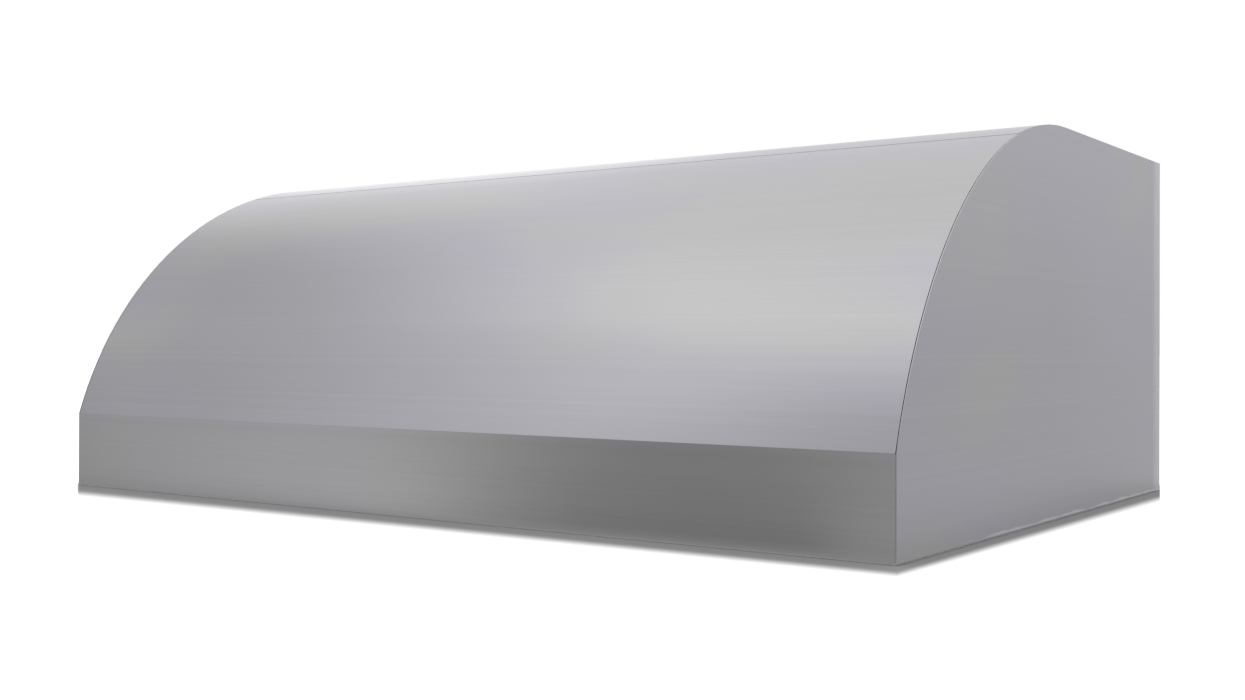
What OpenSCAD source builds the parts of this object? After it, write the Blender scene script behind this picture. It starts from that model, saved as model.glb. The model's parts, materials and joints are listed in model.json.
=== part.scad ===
// Outdoor canopy range hood with a curved front, for a wall.
// Lengths are millimetres. X runs along the wall, -Y is the front, +Z is up.
// The origin is the centre of the wall screw pattern, on the back face.
// Inside the modules, Y is counted back from the front band and Z up from the bottom edge.

/* [Shell] */
// Width along the wall
hood_w = 1219.2; // [1140:1:1300]
// Depth from the wall to the front band
hood_d = 914.4; // [880:1:960]
// Height
hood_h = 457.2; // [445:1:490]
// Height of the plain vertical band at the front
band_h = 101.6; // [80:1:125]
// Distance behind the band at which the curve becomes level
arc_back = 492; // [475:1:510]
// Gap left between the sheets and the side panels
side_gap = 0.6; // [0.2:0.1:0.8]
// Distance behind the band of the joint between the front and top sheets
seam_back = 332; // [290:1:350]
// Gap left in that joint
seam_gap = 1.8; // [0.8:0.1:2.4]
// Thickness of the outer sheets
sheet_t = 1.2; // [1:0.1:1.6]
// Depth of the return under the front band
return_d = 24; // [20:1:30]
// Width of the flanges at the foot of the sides and the back
foot_flange = 16; // [12:0.5:17]
// Depth of the flange at the back of the top sheet
top_flange = 15; // [10:1:20]
// Width of the strip that backs the sheet joint
strip_w = 40; // [30:1:50]
// Thickness of that strip
strip_t = 1.2; // [1:0.1:1.6]

/* [Wall fixing] */
// Distance between wall studs
stud_pitch = 406.4; // [400:0.1:410]
// Height of the lower row of wall screws
screw_row_low = 140; // [136:1:150]
// Distance of the upper row of wall screws below the top
screw_row_drop = 57.2; // [52:0.1:66]
// Radius of the wall screw holes
wall_hole_r = 4.5; // [3.5:0.1:5.5]
// Height of the wall rails
wall_rail_h = 40; // [34:1:44]
// Depth of the wall rails
wall_rail_d = 12; // [8:1:14]
// Thickness of the wall rails
wall_rail_t = 2; // [1.5:0.1:2.5]
// Distance from each end of a wall rail to the side panel
wall_rail_end = 24; // [20:1:60]

/* [Lamp panel and liner] */
// Height of the lamp panel above the bottom edge
panel_up = 24; // [22:1:30]
// Distance of the panel's rear edge behind the band
panel_back = 174; // [165:1:185]
// Height of the flange along that rear edge
panel_flange = 16; // [12:1:20]
// Thickness of the liner sheets
liner_t = 1.2; // [1:0.1:1.5]
// Distance of the lamps and knobs behind the band
lamp_back = 99; // [94:1:104]
// Distance from the middle to the inner lamps
lamp_inner_x = 180; // [165:1:220]
// Distance from the middle to the outer lamps
lamp_outer_x = 450; // [400:1:500]
// Radius of the lamp cans
lamp_can_r = 36; // [34:0.5:40]
// Height of the lamp cans
lamp_can_h = 52; // [50:1:60]
// Thickness of the cans and trim collars
lamp_t = 1; // [0.8:0.1:1.4]
// Width of the trim flange outside the can
lamp_trim_w = 7; // [5:0.5:9]
// Thickness of the lens
lens_t = 3; // [2:0.2:4]
// Radius of the bulb's front
bulb_r = 25; // [22:0.5:27]

/* [Controls] */
// Distance from the middle to each knob
knob_x = 55; // [45:1:70]
// Radius of a knob
knob_r = 19; // [17:0.5:22]
// Height of a knob
knob_h = 17; // [15:0.5:19]
// Radius of the knob shafts
knob_shaft_r = 3; // [2.5:0.1:4]
// Radius of a switch's threaded bush
bush_r = 5; // [4.6:0.1:6]
// Width of a switch body
switch_w = 34; // [28:1:40]
// Height of a switch body
switch_h = 22; // [20:1:30]
// Width of the control box
box_w = 200; // [190:1:220]
// Depth of the control box
box_d = 84; // [78:1:90]
// Height of the control box
box_h = 72; // [68:1:80]

/* [Filters] */
// Slope of the filters, down to the rear
filter_tilt = 20; // [18:0.5:21]
// Distance of the hanging rod behind the band
rod_back = 372; // [366:1:380]
// Radius of the rod
rod_r = 4; // [3.5:0.1:4.5]
// Height of the rear end of the filters, on the rod's line
filter_end_up = 74; // [72:1:78]
// Distance from the wall to the rear end of the filters
filter_end_gap = 91.4; // [88:0.2:95]
// Thickness of a filter
filter_t = 40; // [36:1:44]
// Depth of a filter below the rod's line
filter_drop = 8; // [7.5:0.1:9]
// Distance from the rod to the front of a filter
filter_front = 14; // [13:0.5:18]
// Gap between neighbouring filters
filter_gap = 4; // [3.6:0.2:6]
// Gap between the outer filters and the side panels
filter_side = 19.4; // [16:0.2:24]
// Thickness of the filter frame's sheet
frame_t = 1; // [0.8:0.1:1.2]
// Width of the filter frame's flanges
frame_flange = 14; // [12:0.5:18]
// Width of the plate that carries the latch
latch_plate = 40; // [38:1:50]
// Thickness of the baffles
baffle_t = 0.8; // [0.7:0.1:1]
// Distance from one baffle to the next
baffle_pitch = 46; // [44:1:50]
// Width of a baffle
baffle_w = 30; // [26:1:32]
// Height of a baffle's edges
baffle_h = 22; // [20:0.5:23]
// Half the distance between the two hooks of a filter
hook_x = 120; // [90:1:150]
// Width of a hook
hook_w = 30; // [20:1:40]
// Thickness of a hook
hook_t = 1.2; // [1:0.1:1.5]
// Radius of the wire of a filter handle
handle_r = 4; // [3:0.5:5]
// Clear space behind a filter handle
handle_gap = 30; // [26:1:34]
// Width of a latch
latch_w = 50; // [40:1:60]
// Thickness of a latch
latch_t = 2; // [1.5:0.1:2.4]
// Travel of a latch
latch_travel = 8; // [7:0.5:9]
// Reach of a latch past the filter
latch_reach = 12; // [11:0.5:13]
// Depth of the finger tab
latch_tab_h = 18; // [14:1:22]

/* [Rails and tray] */
// Thickness of the filter rails
rail_t = 1.5; // [1.2:0.1:1.8]
// Distance from the rod forward to the front rail
front_rail_gap = 26; // [24:1:30]
// Height of the front rail above the rod
front_rail_up = 27.5; // [26:0.5:30]
// Depth of the front rail below the rod
front_rail_down = 32; // [30:1:40]
// Width of the front rail's top flange
front_rail_flange = 56; // [50:1:60]
// Thickness of the ears that hold the rod
ear_t = 2; // [1.6:0.1:2.4]
// Material of the ears round the rod
ear_edge = 8.5; // [7:0.5:10]
// Gap between the filters and the rear rail
keeper_gap = 6; // [5:0.5:7]
// Height of the base under the grease tray's lip
tray_lip_base = 40; // [38:1:44]
// Height of the lip that the tray hangs on
tray_lip_up = 66; // [64:1:68]
// Distance from the wall to that lip
tray_lip_gap = 29.8; // [28:0.2:34]
// Height of the tray's floor above the bottom edge
tray_floor = 8; // [6:0.5:10]
// Height of the tray's front rim
tray_rim = 36; // [30:1:36]
// Distance from the wall to the tray's front
tray_front_gap = 91.4; // [90:0.2:92]
// Thickness of the tray
tray_t = 1.2; // [1:0.1:1.4]
// Distance from the tray's ends to the side panels
tray_end_gap = 33; // [28:1:40]

/* [Blower] */
// Distance of the impellers' axis from the wall
blower_back = 165; // [160:1:170]
// Height from the impellers' axis to the outlet box
blower_rise = 100; // [98:1:108]
// Radius of the impellers
wheel_r = 88; // [84:0.5:89]
// Length of an impeller
wheel_w = 110; // [100:1:112]
// Radius of the inner edge of the blades
blade_in_r = 73; // [72:0.5:75]
// Thickness of the blades
blade_t = 1; // [0.8:0.1:1.2]
// Number of blades on an impeller
blade_count = 30; // [24:1:36]
// Smallest radius of the scroll
scroll_r = 98; // [97:0.5:102]
// Growth of the scroll's radius in a quarter turn
scroll_step = 8; // [6:0.5:10]
// Thickness of the blower's sheets
scroll_t = 1.2; // [1:0.1:1.4]
// Width of a scroll housing
scroll_w = 130; // [128:1:134]
// Distance from the middle to each scroll housing
scroll_x = 70; // [69:0.5:74]
// Radius of the shaft hole in the scroll's inner side
scroll_hole_r = 26; // [24:1:30]
// Radius of the inlets
inlet_r = 66; // [60:0.5:67]
// Radius of the inlet rings' rolled edge
inlet_roll = 7; // [5:0.5:8]
// Radius of the motor
motor_r = 62; // [56:1:66]
// Radius of the motor shaft
motor_shaft_r = 6.35; // [6:0.05:7]
// Length of the motor shaft
motor_shaft_l = 260; // [230:1:280]
// Radius of the motor bearings
bearing_r = 14; // [13:0.5:16]
// Length of the motor bearings
bearing_l = 11; // [9:0.5:14]
// Thickness of the rubber motor mounts
motor_mount_t = 3; // [2:0.5:4]

/* [Duct] */
// Distance of the duct's centre from the wall
duct_back = 152.4; // [148:0.2:156]
// Outer radius of the duct collar
duct_r = 127; // [120:0.5:128]
// Height of the collar above the top sheet
collar_up = 22; // [18:1:24]
// Height of the collar's stop bead
bead_h = 4; // [3.6:0.1:5]
// Width of the collar's stop bead
bead_w = 0.8; // [0.5:0.1:0.9]
// Depth of the collar below the top sheet
collar_down = 17; // [16:0.5:20]
// Thickness of the collar
collar_t = 1.2; // [1:0.1:1.5]
// Width of the collar's flange
collar_flange = 20; // [18:1:22]
// Depth of the damper's rod below the top face
damper_down = 5.2; // [5:0.1:6]
// Radius of the damper's rod
damper_rod_r = 3; // [2.5:0.1:3.2]
// Gap between the flaps and the collar
flap_gap = 1.2; // [1:0.1:1.8]
// Thickness of the flaps
flap_t = 1; // [0.8:0.1:1.2]
// Height of the outlet box
outlet_h = 55; // [54:1:58]
// Width of the outlet box
outlet_w = 430; // [424:1:440]
// Depth of the outlet box
outlet_d = 258; // [256:0.5:260]

/* [Wiring] */
// Distance from the middle to the conduit knockout
knockout_x = 450; // [430:1:470]
// Distance from the wall to the knockout
knockout_back = 79.4; // [76:0.2:86]
// Radius of the knockout
knockout_r = 11.1; // [11:0.1:14]
// Width and depth of the junction box
junction_w = 96; // [84:1:100]
// Height of the junction box
junction_h = 50; // [40:1:60]
// Radius of the wiring conduit
conduit_r = 4; // [3:0.5:5]
// Depth of the conduit below the top sheet
conduit_down = 30; // [26:1:34]
// Distance of the conduit inside the side panel
conduit_side = 50; // [46:1:70]
// Radius of the capacitor
capacitor_r = 19; // [16:0.5:20]
// Length of the capacitor
capacitor_l = 62; // [50:1:70]

/* [Fits] */
// Small gap between pieces that seat on each other
seat = 0.3; // [0.25:0.05:0.4]
// Radial clearance of a turning fit
turn_fit = 0.06; // [0.04:0.01:0.09]
// Radius of the pan head screws
screw_r = 2; // [1.6:0.1:2.2]

/* [Hidden] */
$fn = 96;
FILTERS = [0, 1, 2];
SIDES = [-1, 1];

// Shell
rise = hood_h - band_h;
arc_r = (arc_back * arc_back + rise * rise) / (2 * rise);
arc_up = hood_h - arc_r;
inner_x = hood_w / 2 - sheet_t;
sheet_x = inner_x - side_gap;
back_in = hood_d - sheet_t;
top_in = hood_h - sheet_t;
kink_angle = atan2(band_h - arc_up, arc_back);
seam_angle = acos((arc_back - seam_back) / arc_r);
strip_half = strip_w / 2 / arc_r * 180 / PI;
gap_half = seam_gap / 2 / arc_r * 180 / PI;

// Wall fixing
screw_row_high = hood_h - screw_row_drop;
wall_up = (screw_row_low + screw_row_high) / 2;

// Filters
span = hood_d - filter_end_gap - rod_back;
filter_l = span / cos(filter_tilt);
rod_up = filter_end_up + span * tan(filter_tilt);
filter_w = (2 * inner_x - 2 * filter_side - 2 * filter_gap) / 3;
filter_pitch = filter_w + filter_gap;
frame_l = filter_l - filter_front;
hook_in = rod_r + turn_fit;
baffle_count = floor((filter_w - 2 * frame_t) / baffle_pitch);
baffle_l = frame_l - 2 * frame_t - 2 * seat;
baffle_rise = filter_t - 2 * frame_t - seat;
latch_gap = 0.5;
latch_z = -filter_drop - latch_gap - latch_t;
latch_l = latch_plate;
latch_start = filter_l - latch_plate + 10;
guide_w = 5;
guide_t = 1.2;
handle_x = 1.5 * baffle_pitch;
handle_y = filter_front + frame_l / 2;
handle_z = -filter_drop + frame_t;

// Rails and tray
rail_y = rod_back - front_rail_gap;
rail_top = rod_up + front_rail_up;
rail_foot = rod_up - front_rail_down;
lip_y = hood_d - tray_lip_gap;
tray_front = hood_d - tray_front_gap;
tray_back = lip_y - seat;
tray_x = inner_x - tray_end_gap;

// Blower
outlet_top = top_in;
outlet_floor = outlet_top - outlet_h;
axis_y = hood_d - blower_back;
axis_z = outlet_floor - blower_rise;
wheel_x = scroll_x + (scroll_w - wheel_w) / 2;
motor_half = scroll_x - motor_mount_t;
hub_r = 15;
hub_l = 32;
tongue = 40;
outlet_near = tongue - scroll_step / 2;
outlet_far = scroll_r + 2.5 * scroll_step;

// Duct
duct_y = hood_d - duct_back;
collar_in = duct_r - collar_t;
throat_r = collar_in - 0.6;
damper_z = hood_h - damper_down;
flap_r = throat_r - flap_gap;
curl_in = damper_rod_r + turn_fit;
curl_r = curl_in + 1.2;
gasket_low = damper_z - 5.4;
curl_l = 0.4 * flap_r;
curl_near = 0.04 * flap_r;
curl_far = 2 * curl_l + 3 * curl_near;

// Lamps and knobs
lamp_xs = [-lamp_outer_x, -lamp_inner_x, lamp_inner_x, lamp_outer_x];
panel_top = panel_up + sheet_t;
trim_t = 1.8;
trim_collar_r = lamp_can_r - lamp_t - seat;
lens_r = trim_collar_r - lamp_t - 0.2;
can_roof = panel_top + lamp_can_h;
run_up = can_roof + seat + conduit_r;
run_back = lamp_back - 19;
nut_h = 2.5;
knob_gap = 0.6;
knob_top = panel_up - knob_gap;
knob_low = knob_top - knob_h;
bush_low = panel_up - 7;
cavity_top = bush_low - 1.5;
shaft_low = knob_low + 4;

// Wiring
knockout_y = hood_d - knockout_back;
conduit_x = inner_x - conduit_side;
motor_lead_y = duct_y - outlet_d / 2 - 26;

// Screws
screw_hole_r = screw_r + 0.15;
flange_screw_x = [-560, -300, 0, 300, 560];
collar_screw_r = duct_r + collar_flange - 8;
collar_screws = 8;

// Colours
steel = [0.66, 0.66, 0.68];
steel_dark = [0.55, 0.55, 0.57];
zinc = [0.62, 0.64, 0.66];
black = [0.1, 0.1, 0.11];
rubber = [0.13, 0.13, 0.13];

// Outlines of bent sheets: a line of bends and its parallel at the sheet's thickness.
// A positive thickness lies on the left of the line, a negative one on its right.
function unit(v) = v / norm(v);
function left_of(v) = [-v[1], v[0]];
function heading(p, i) = unit(p[i + 1] - p[i]);
function mitre(a, b) = (a + b) / (1 + a * b);
function parallel_point(p, i, t) =
    i == 0 ? p[0] + t * left_of(heading(p, 0)) :
    i == len(p) - 1 ? p[i] + t * left_of(heading(p, i - 1)) :
    p[i] + t * mitre(left_of(heading(p, i - 1)), left_of(heading(p, i)));
function bent(p, t) = concat(p, [for (i = [len(p) - 1:-1:0]) parallel_point(p, i, t)]);

// A place on a filter, counted along its slope from the rod and square to it, in the hood.
function on_slope(s, n) = [
    rod_back + s * cos(filter_tilt) + n * sin(filter_tilt),
    rod_up - s * sin(filter_tilt) + n * cos(filter_tilt)
];
function filter_x(i) = (i - 1) * filter_pitch;

module hung() {
    translate([0, -hood_d, -wall_up]) children();
}

// An outline in Y and Z, drawn out along X.
module along_x(x0, x1) {
    translate([x0, 0, 0]) rotate([90, 0, 90]) linear_extrude(height = x1 - x0) children();
}

module round_x(x0, x1, r) {
    translate([x0, 0, 0]) rotate([0, 90, 0]) cylinder(h = x1 - x0, r = r);
}

module tube_z(z0, z1, r_out, r_in) {
    translate([0, 0, z0]) difference() {
        cylinder(h = z1 - z0, r = r_out);
        translate([0, 0, -1]) cylinder(h = z1 - z0 + 2, r = r_in);
    }
}

// The hood's side outline, drawn in by a distance.
module outline(inset) {
    difference() {
        translate([inset, inset]) square([hood_d - 2 * inset, hood_h - 2 * inset]);
        difference() {
            translate([-60, -10]) square([arc_back + 60, hood_h + 60]);
            translate([arc_back, arc_up]) circle(r = arc_r - inset, $fn = 360);
        }
    }
}

// A wedge of the hood's side, from one angle on the curve to another.
module wedge(a0, a1) {
    reach = arc_r * 1.6;
    translate([arc_back, arc_up]) polygon([
        [0, 0],
        [-reach * cos(a0), reach * sin(a0)],
        [-reach * cos((a0 + a1) / 2), reach * sin((a0 + a1) / 2)],
        [-reach * cos(a1), reach * sin(a1)]
    ]);
}

// The curved sheet's section, from one angle to another.
module curved(a0, a1) {
    intersection() {
        difference() {
            outline(0);
            outline(sheet_t);
        }
        wedge(a0, a1);
        translate([-1, band_h / 2]) square([hood_d, hood_h]);
    }
}

// Outer sheets

module front_panel() {
    color(steel) hung() union() {
        along_x(-sheet_x, sheet_x) union() {
            curved(kink_angle, seam_angle - gap_half);
            square([sheet_t, band_h]);
            square([return_d, sheet_t]);
            translate([return_d - sheet_t, 0]) square([sheet_t, panel_up]);
        }
    }
}

module top_panel() {
    color(steel) hung() difference() {
        union() {
            along_x(-sheet_x, sheet_x) union() {
                curved(seam_angle + gap_half, 90);
                translate([arc_back, top_in]) square([back_in - arc_back, sheet_t]);
                translate([back_in - sheet_t, top_in - top_flange])
                    square([sheet_t, top_flange + sheet_t]);
            }
        }
        translate([0, duct_y, top_in - 1]) cylinder(h = sheet_t + 2, r = duct_r + 1);
        translate([-knockout_x, knockout_y, top_in - 1]) cylinder(h = sheet_t + 2, r = knockout_r);
        for (i = [0:collar_screws - 1]) at_collar_screw(i)
            translate([0, 0, top_in - 1]) cylinder(h = sheet_t + 2, r = screw_hole_r);
    }
}

module at_collar_screw(i) {
    turn = i * 360 / collar_screws;
    translate([collar_screw_r * cos(turn), duct_y + collar_screw_r * sin(turn), 0]) children();
}

// The side stands on X = 0 with its outer face towards +X.
module side_sheet() {
    foot_start = return_d + 2;
    union() {
        along_x(inner_x, inner_x + sheet_t) outline(0);
        translate([inner_x - foot_flange, foot_start, 0])
            cube([foot_flange + sheet_t / 2, back_in - foot_start, sheet_t]);
        translate([inner_x - foot_flange, back_in - sheet_t - seat, sheet_t + seat])
            cube([foot_flange + sheet_t / 2, sheet_t, tray_lip_base - 3 - sheet_t]);
    }
}

module side_panel_left() {
    color(steel) hung() mirror([1, 0, 0]) side_sheet();
}

module side_panel_right() {
    color(steel) hung() side_sheet();
}

module wall_holes(y0, length) {
    for (x = [-stud_pitch, 0, stud_pitch]) for (z = [screw_row_low, screw_row_high])
        translate([x, y0, z]) rotate([-90, 0, 0]) cylinder(h = length, r = wall_hole_r);
}

module back_panel() {
    color(steel) hung() difference() {
        union() {
            translate([-inner_x, back_in, 0]) cube([2 * inner_x, sheet_t, hood_h]);
            translate([-inner_x + foot_flange + seat, back_in - foot_flange, 0])
                cube([2 * (inner_x - foot_flange - seat), foot_flange + sheet_t / 2, sheet_t]);
        }
        wall_holes(back_in - 1, sheet_t + 2);
    }
}

module seam_strip() {
    gap = 0.1;
    color(steel_dark) hung() along_x(-inner_x + 2, inner_x - 2) intersection() {
        difference() {
            translate([arc_back, arc_up]) circle(r = arc_r - sheet_t - gap, $fn = 360);
            translate([arc_back, arc_up]) circle(r = arc_r - sheet_t - gap - strip_t, $fn = 360);
        }
        wedge(seam_angle - strip_half, seam_angle + strip_half);
    }
}

module wall_rail(up) {
    half = inner_x - wall_rail_end;
    flange_z = up + wall_rail_h / 2;
    profile = [
        [back_in - wall_rail_d, flange_z],
        [back_in, flange_z],
        [back_in, flange_z - wall_rail_h],
        [back_in - wall_rail_d, flange_z - wall_rail_h]
    ];
    color(zinc) hung() difference() {
        along_x(-half, half) polygon(bent(profile, -wall_rail_t));
        wall_holes(back_in - wall_rail_t - 1, wall_rail_t + 2);
    }
}

module wall_rail_upper() {
    wall_rail(screw_row_high);
}

module wall_rail_lower() {
    wall_rail(screw_row_low);
}

// Underside

module lamp_panel() {
    profile = [
        [sheet_t + 1, panel_up],
        [panel_back, panel_up],
        [panel_back, panel_up + panel_flange]
    ];
    color(steel) hung() difference() {
        along_x(-inner_x, inner_x) polygon(bent(profile, sheet_t));
        for (x = lamp_xs) translate([x, lamp_back, panel_up - 1])
            cylinder(h = sheet_t + 2, r = lamp_can_r - lamp_t);
        for (s = SIDES) translate([s * knob_x, lamp_back, panel_up - 1])
            cylinder(h = sheet_t + 2, r = bush_r + seat);
        flange_screw_holes();
    }
}

module flange_screw_holes() {
    for (x = flange_screw_x) translate([x, panel_back - sheet_t - 1, panel_up + panel_flange / 2])
        rotate([-90, 0, 0]) cylinder(h = sheet_t + liner_t + 2, r = screw_hole_r);
}

module capture_liner() {
    foot = panel_up + panel_flange + 2;
    profile = [
        [panel_back, panel_up],
        [panel_back, foot],
        [rail_y - rail_t - liner_t, rail_foot + 2],
        [rail_y - rail_t - liner_t, rod_up - 4]
    ];
    color(steel) hung() difference() {
        along_x(-inner_x, inner_x) polygon(bent(profile, -liner_t));
        flange_screw_holes();
    }
}

module front_filter_rail() {
    profile = [[rail_y, rail_foot], [rail_y, rail_top], [rail_y + front_rail_flange, rail_top]];
    ear_xs = [for (k = [-1.5:1:1.5]) k * filter_pitch];
    color(steel) hung() difference() {
        union() {
            along_x(-inner_x, inner_x) polygon(bent(profile, rail_t));
            for (x = ear_xs) translate([x - ear_t / 2, rail_y - rail_t / 2, rod_up - ear_edge])
                cube([ear_t, rod_back - rail_y + ear_edge + rail_t / 2,
                    rail_top - rod_up + ear_edge + rail_t / 2]);
        }
        translate([0, rod_back, rod_up]) round_x(-inner_x, inner_x, rod_r + turn_fit);
    }
}

module filter_rod() {
    half = 1.5 * filter_pitch + ear_t / 2 + 3;
    color(steel_dark) hung() translate([0, rod_back, rod_up]) round_x(-half, half, rod_r);
}

module rear_filter_rail() {
    keeper_s = filter_l + keeper_gap;
    keeper_low = latch_z - 5.5;
    keeper_high = filter_t - filter_drop + 10;
    keeper_top = on_slope(keeper_s, keeper_high);
    profile = [
        on_slope(keeper_s, keeper_low),
        keeper_top,
        [back_in, keeper_top[1]],
        [back_in, tray_lip_base],
        [lip_y, tray_lip_base],
        [lip_y, tray_lip_up]
    ];
    color(steel) hung() difference() {
        along_x(-inner_x, inner_x) polygon(bent(profile, -rail_t));
        for (i = FILTERS) on_filter(i)
            translate([-latch_w / 2 - 2, keeper_s - 1, latch_z - seat])
                cube([latch_w + 4, rail_t + 2, latch_t + 2 * seat]);
    }
}

module side_rail(s) {
    leg_z = filter_t - filter_drop + seat;
    width = filter_side + 9;
    color(steel) hung() translate([0, rod_back, rod_up]) rotate([-filter_tilt, 0, 0])
        mirror([s < 0 ? 1 : 0, 0, 0]) union() {
            translate([inner_x - width, filter_front + 16, leg_z])
                cube([width, frame_l - 20, rail_t]);
            translate([inner_x - rail_t, filter_front + 16, leg_z])
                cube([rail_t, frame_l - 20, 22]);
        }
}

module side_rail_left() {
    side_rail(-1);
}

module side_rail_right() {
    side_rail(1);
}

module grease_tray() {
    hook_up = tray_lip_up + seat;
    hook_y = lip_y + rail_t + 2 * seat;
    profile = [
        [tray_front, tray_rim],
        [tray_front, tray_floor],
        [tray_back, tray_floor],
        [tray_back, hook_up],
        [hook_y, hook_up],
        [hook_y, hook_up - 6]
    ];
    color(steel) hung() union() {
        along_x(-tray_x, tray_x) polygon(bent(profile, tray_t));
        for (s = SIDES) translate([s * (tray_x - tray_t / 2) - tray_t / 2, tray_front, tray_floor])
            cube([tray_t, tray_back - tray_front, tray_rim - tray_floor]);
    }
}

// Filters, each drawn along its slope with the rod at the origin

module on_filter(i) {
    translate([filter_x(i), rod_back, rod_up]) rotate([-filter_tilt, 0, 0]) children();
}

module hook() {
    wrap = 210;
    reach = 3 * hook_in;
    translate([-hook_w / 2, 0, 0]) rotate([90, 0, 90]) linear_extrude(height = hook_w) union() {
        intersection() {
            difference() {
                circle(r = hook_in + hook_t);
                circle(r = hook_in);
            }
            polygon([[0, 0], [0, reach], [-reach, reach], [-reach, -reach * tan(wrap)]]);
        }
        translate([-0.01, hook_in]) square([filter_front + frame_t, hook_t]);
    }
}

module filter_frame(i) {
    w = filter_w;
    low = -filter_drop;
    open_w = w - 2 * frame_flange;
    color(steel) hung() on_filter(i) union() {
        difference() {
            translate([-w / 2, filter_front, low]) cube([w, frame_l, filter_t]);
            translate([-w / 2 + frame_t, filter_front + frame_t, low + frame_t])
                cube([w - 2 * frame_t, frame_l - 2 * frame_t, filter_t - 2 * frame_t]);
            translate([-open_w / 2, filter_front + frame_flange, low + filter_t / 2])
                cube([open_w, frame_l - 2 * frame_flange, filter_t]);
            translate([-open_w / 2, filter_front + frame_flange, low - 1])
                cube([open_w, frame_l - frame_flange - latch_plate, filter_t / 2]);
            for (k = [-1.5:1:1.5]) translate([k * w / 4.6 - 8, filter_l - 2, low + frame_t])
                cube([16, 4, 4]);
        }
        for (s = SIDES) translate([s * hook_x, 0, 0]) hook();
        for (s = SIDES) mirror([s < 0 ? 1 : 0, 0, 0]) latch_guide(low);
    }
}

module latch_guide(low) {
    drop = latch_gap + latch_t + latch_gap + guide_t;
    x0 = latch_w / 2 + latch_gap;
    translate([x0, latch_start + 10, low - drop]) cube([guide_w, 16, drop + frame_t / 2]);
    translate([x0 - 3, latch_start + 10, low - drop]) cube([3.5, 16, guide_t]);
}

module lower_baffle() {
    translate([-baffle_w / 2, 0, 0]) cube([baffle_w, baffle_l, baffle_t]);
    translate([-baffle_w / 2, 0, 0]) cube([baffle_t, baffle_l, baffle_h]);
    translate([baffle_w / 2 - baffle_t, 0, 0]) cube([baffle_t, baffle_l, baffle_h]);
}

module filter_baffles(i) {
    half = filter_w / 2 - frame_t - seat;
    n = baffle_count;
    edge = n / 2 * baffle_pitch - baffle_w / 2;
    color(steel) hung() on_filter(i)
        translate([0, filter_front + frame_t + seat, -filter_drop + frame_t]) difference() {
            union() {
                for (k = [0:n - 1]) translate([(k - (n - 1) / 2) * baffle_pitch, 0, 0])
                    lower_baffle();
                for (k = [0:n - 2]) translate([(k - (n - 2) / 2) * baffle_pitch, 0, baffle_rise])
                    mirror([0, 0, 1]) lower_baffle();
                for (s = SIDES) mirror([s < 0 ? 1 : 0, 0, 0]) {
                    translate([edge, 0, baffle_rise - baffle_t])
                        cube([half - edge, baffle_l, baffle_t]);
                    translate([edge, 0, baffle_rise - baffle_h])
                        cube([baffle_t, baffle_l, baffle_h]);
                }
                for (y = [0, baffle_l - baffle_t]) translate([-half, y, 0])
                    cube([2 * half, baffle_t, baffle_rise]);
            }
            for (k = [0:n - 1]) translate([(k - (n - 1) / 2) * baffle_pitch - 6, baffle_l - 2, 1])
                cube([12, 4, 4]);
        }
}

module filter_handle(i) {
    z0 = handle_z - handle_gap - handle_r;
    color(steel) hung() on_filter(i) translate([0, handle_y, 0]) union() {
        translate([0, 0, z0]) round_x(-handle_x, handle_x, handle_r);
        for (s = SIDES) translate([s * handle_x, 0, z0]) {
            sphere(r = handle_r);
            cylinder(h = handle_z - z0, r = handle_r);
            translate([0, 0, handle_z - z0 - 1.5]) cylinder(h = 1.5, r = handle_r + 4);
        }
    }
}

module filter_latch(i) {
    tab_w = 30;
    color(zinc) hung() on_filter(i) union() {
        translate([-latch_w / 2, latch_start, latch_z])
            cube([latch_w, filter_l + latch_reach - latch_start, latch_t]);
        translate([-tab_w / 2, latch_start, latch_z - latch_tab_h])
            cube([tab_w, latch_t, latch_tab_h + latch_t / 2]);
        translate([0, latch_start + latch_t / 2, latch_z - latch_tab_h])
            round_x(-tab_w / 2, tab_w / 2, latch_t);
    }
}

module filter_frame_1() {
    filter_frame(0);
}

module filter_frame_2() {
    filter_frame(1);
}

module filter_frame_3() {
    filter_frame(2);
}

module filter_baffles_1() {
    filter_baffles(0);
}

module filter_baffles_2() {
    filter_baffles(1);
}

module filter_baffles_3() {
    filter_baffles(2);
}

module filter_handle_1() {
    filter_handle(0);
}

module filter_handle_2() {
    filter_handle(1);
}

module filter_handle_3() {
    filter_handle(2);
}

module filter_latch_1() {
    filter_latch(0);
}

module filter_latch_2() {
    filter_latch(1);
}

module filter_latch_3() {
    filter_latch(2);
}

// Blower, drawn for the right side with the impellers' axis at the origin

module on_blower(s) {
    hung() translate([0, axis_y, axis_z]) mirror([s < 0 ? 1 : 0, 0, 0]) children();
}

// The scroll's outline: its radius grows by one step in each quarter turn up to the outlet.
module scroll(grow, out) {
    a = scroll_step;
    r2 = scroll_r + grow;
    r3 = r2 + a;
    r4 = r3 + a;
    big = 3 * scroll_r;
    translate([-a / 2, -a / 2]) union() {
        intersection() {
            circle(r = r2);
            translate([-big, 0]) square([big + tongue, big]);
        }
        intersection() {
            translate([a, 0]) circle(r = r3);
            translate([-big, -big]) square([big + a, big]);
        }
        intersection() {
            translate([a, a]) circle(r = r4);
            translate([a, -big]) square([big, big + a]);
        }
        translate([tongue - grow, 0]) square([a + r4 - tongue + grow, out + a / 2]);
    }
}

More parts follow.
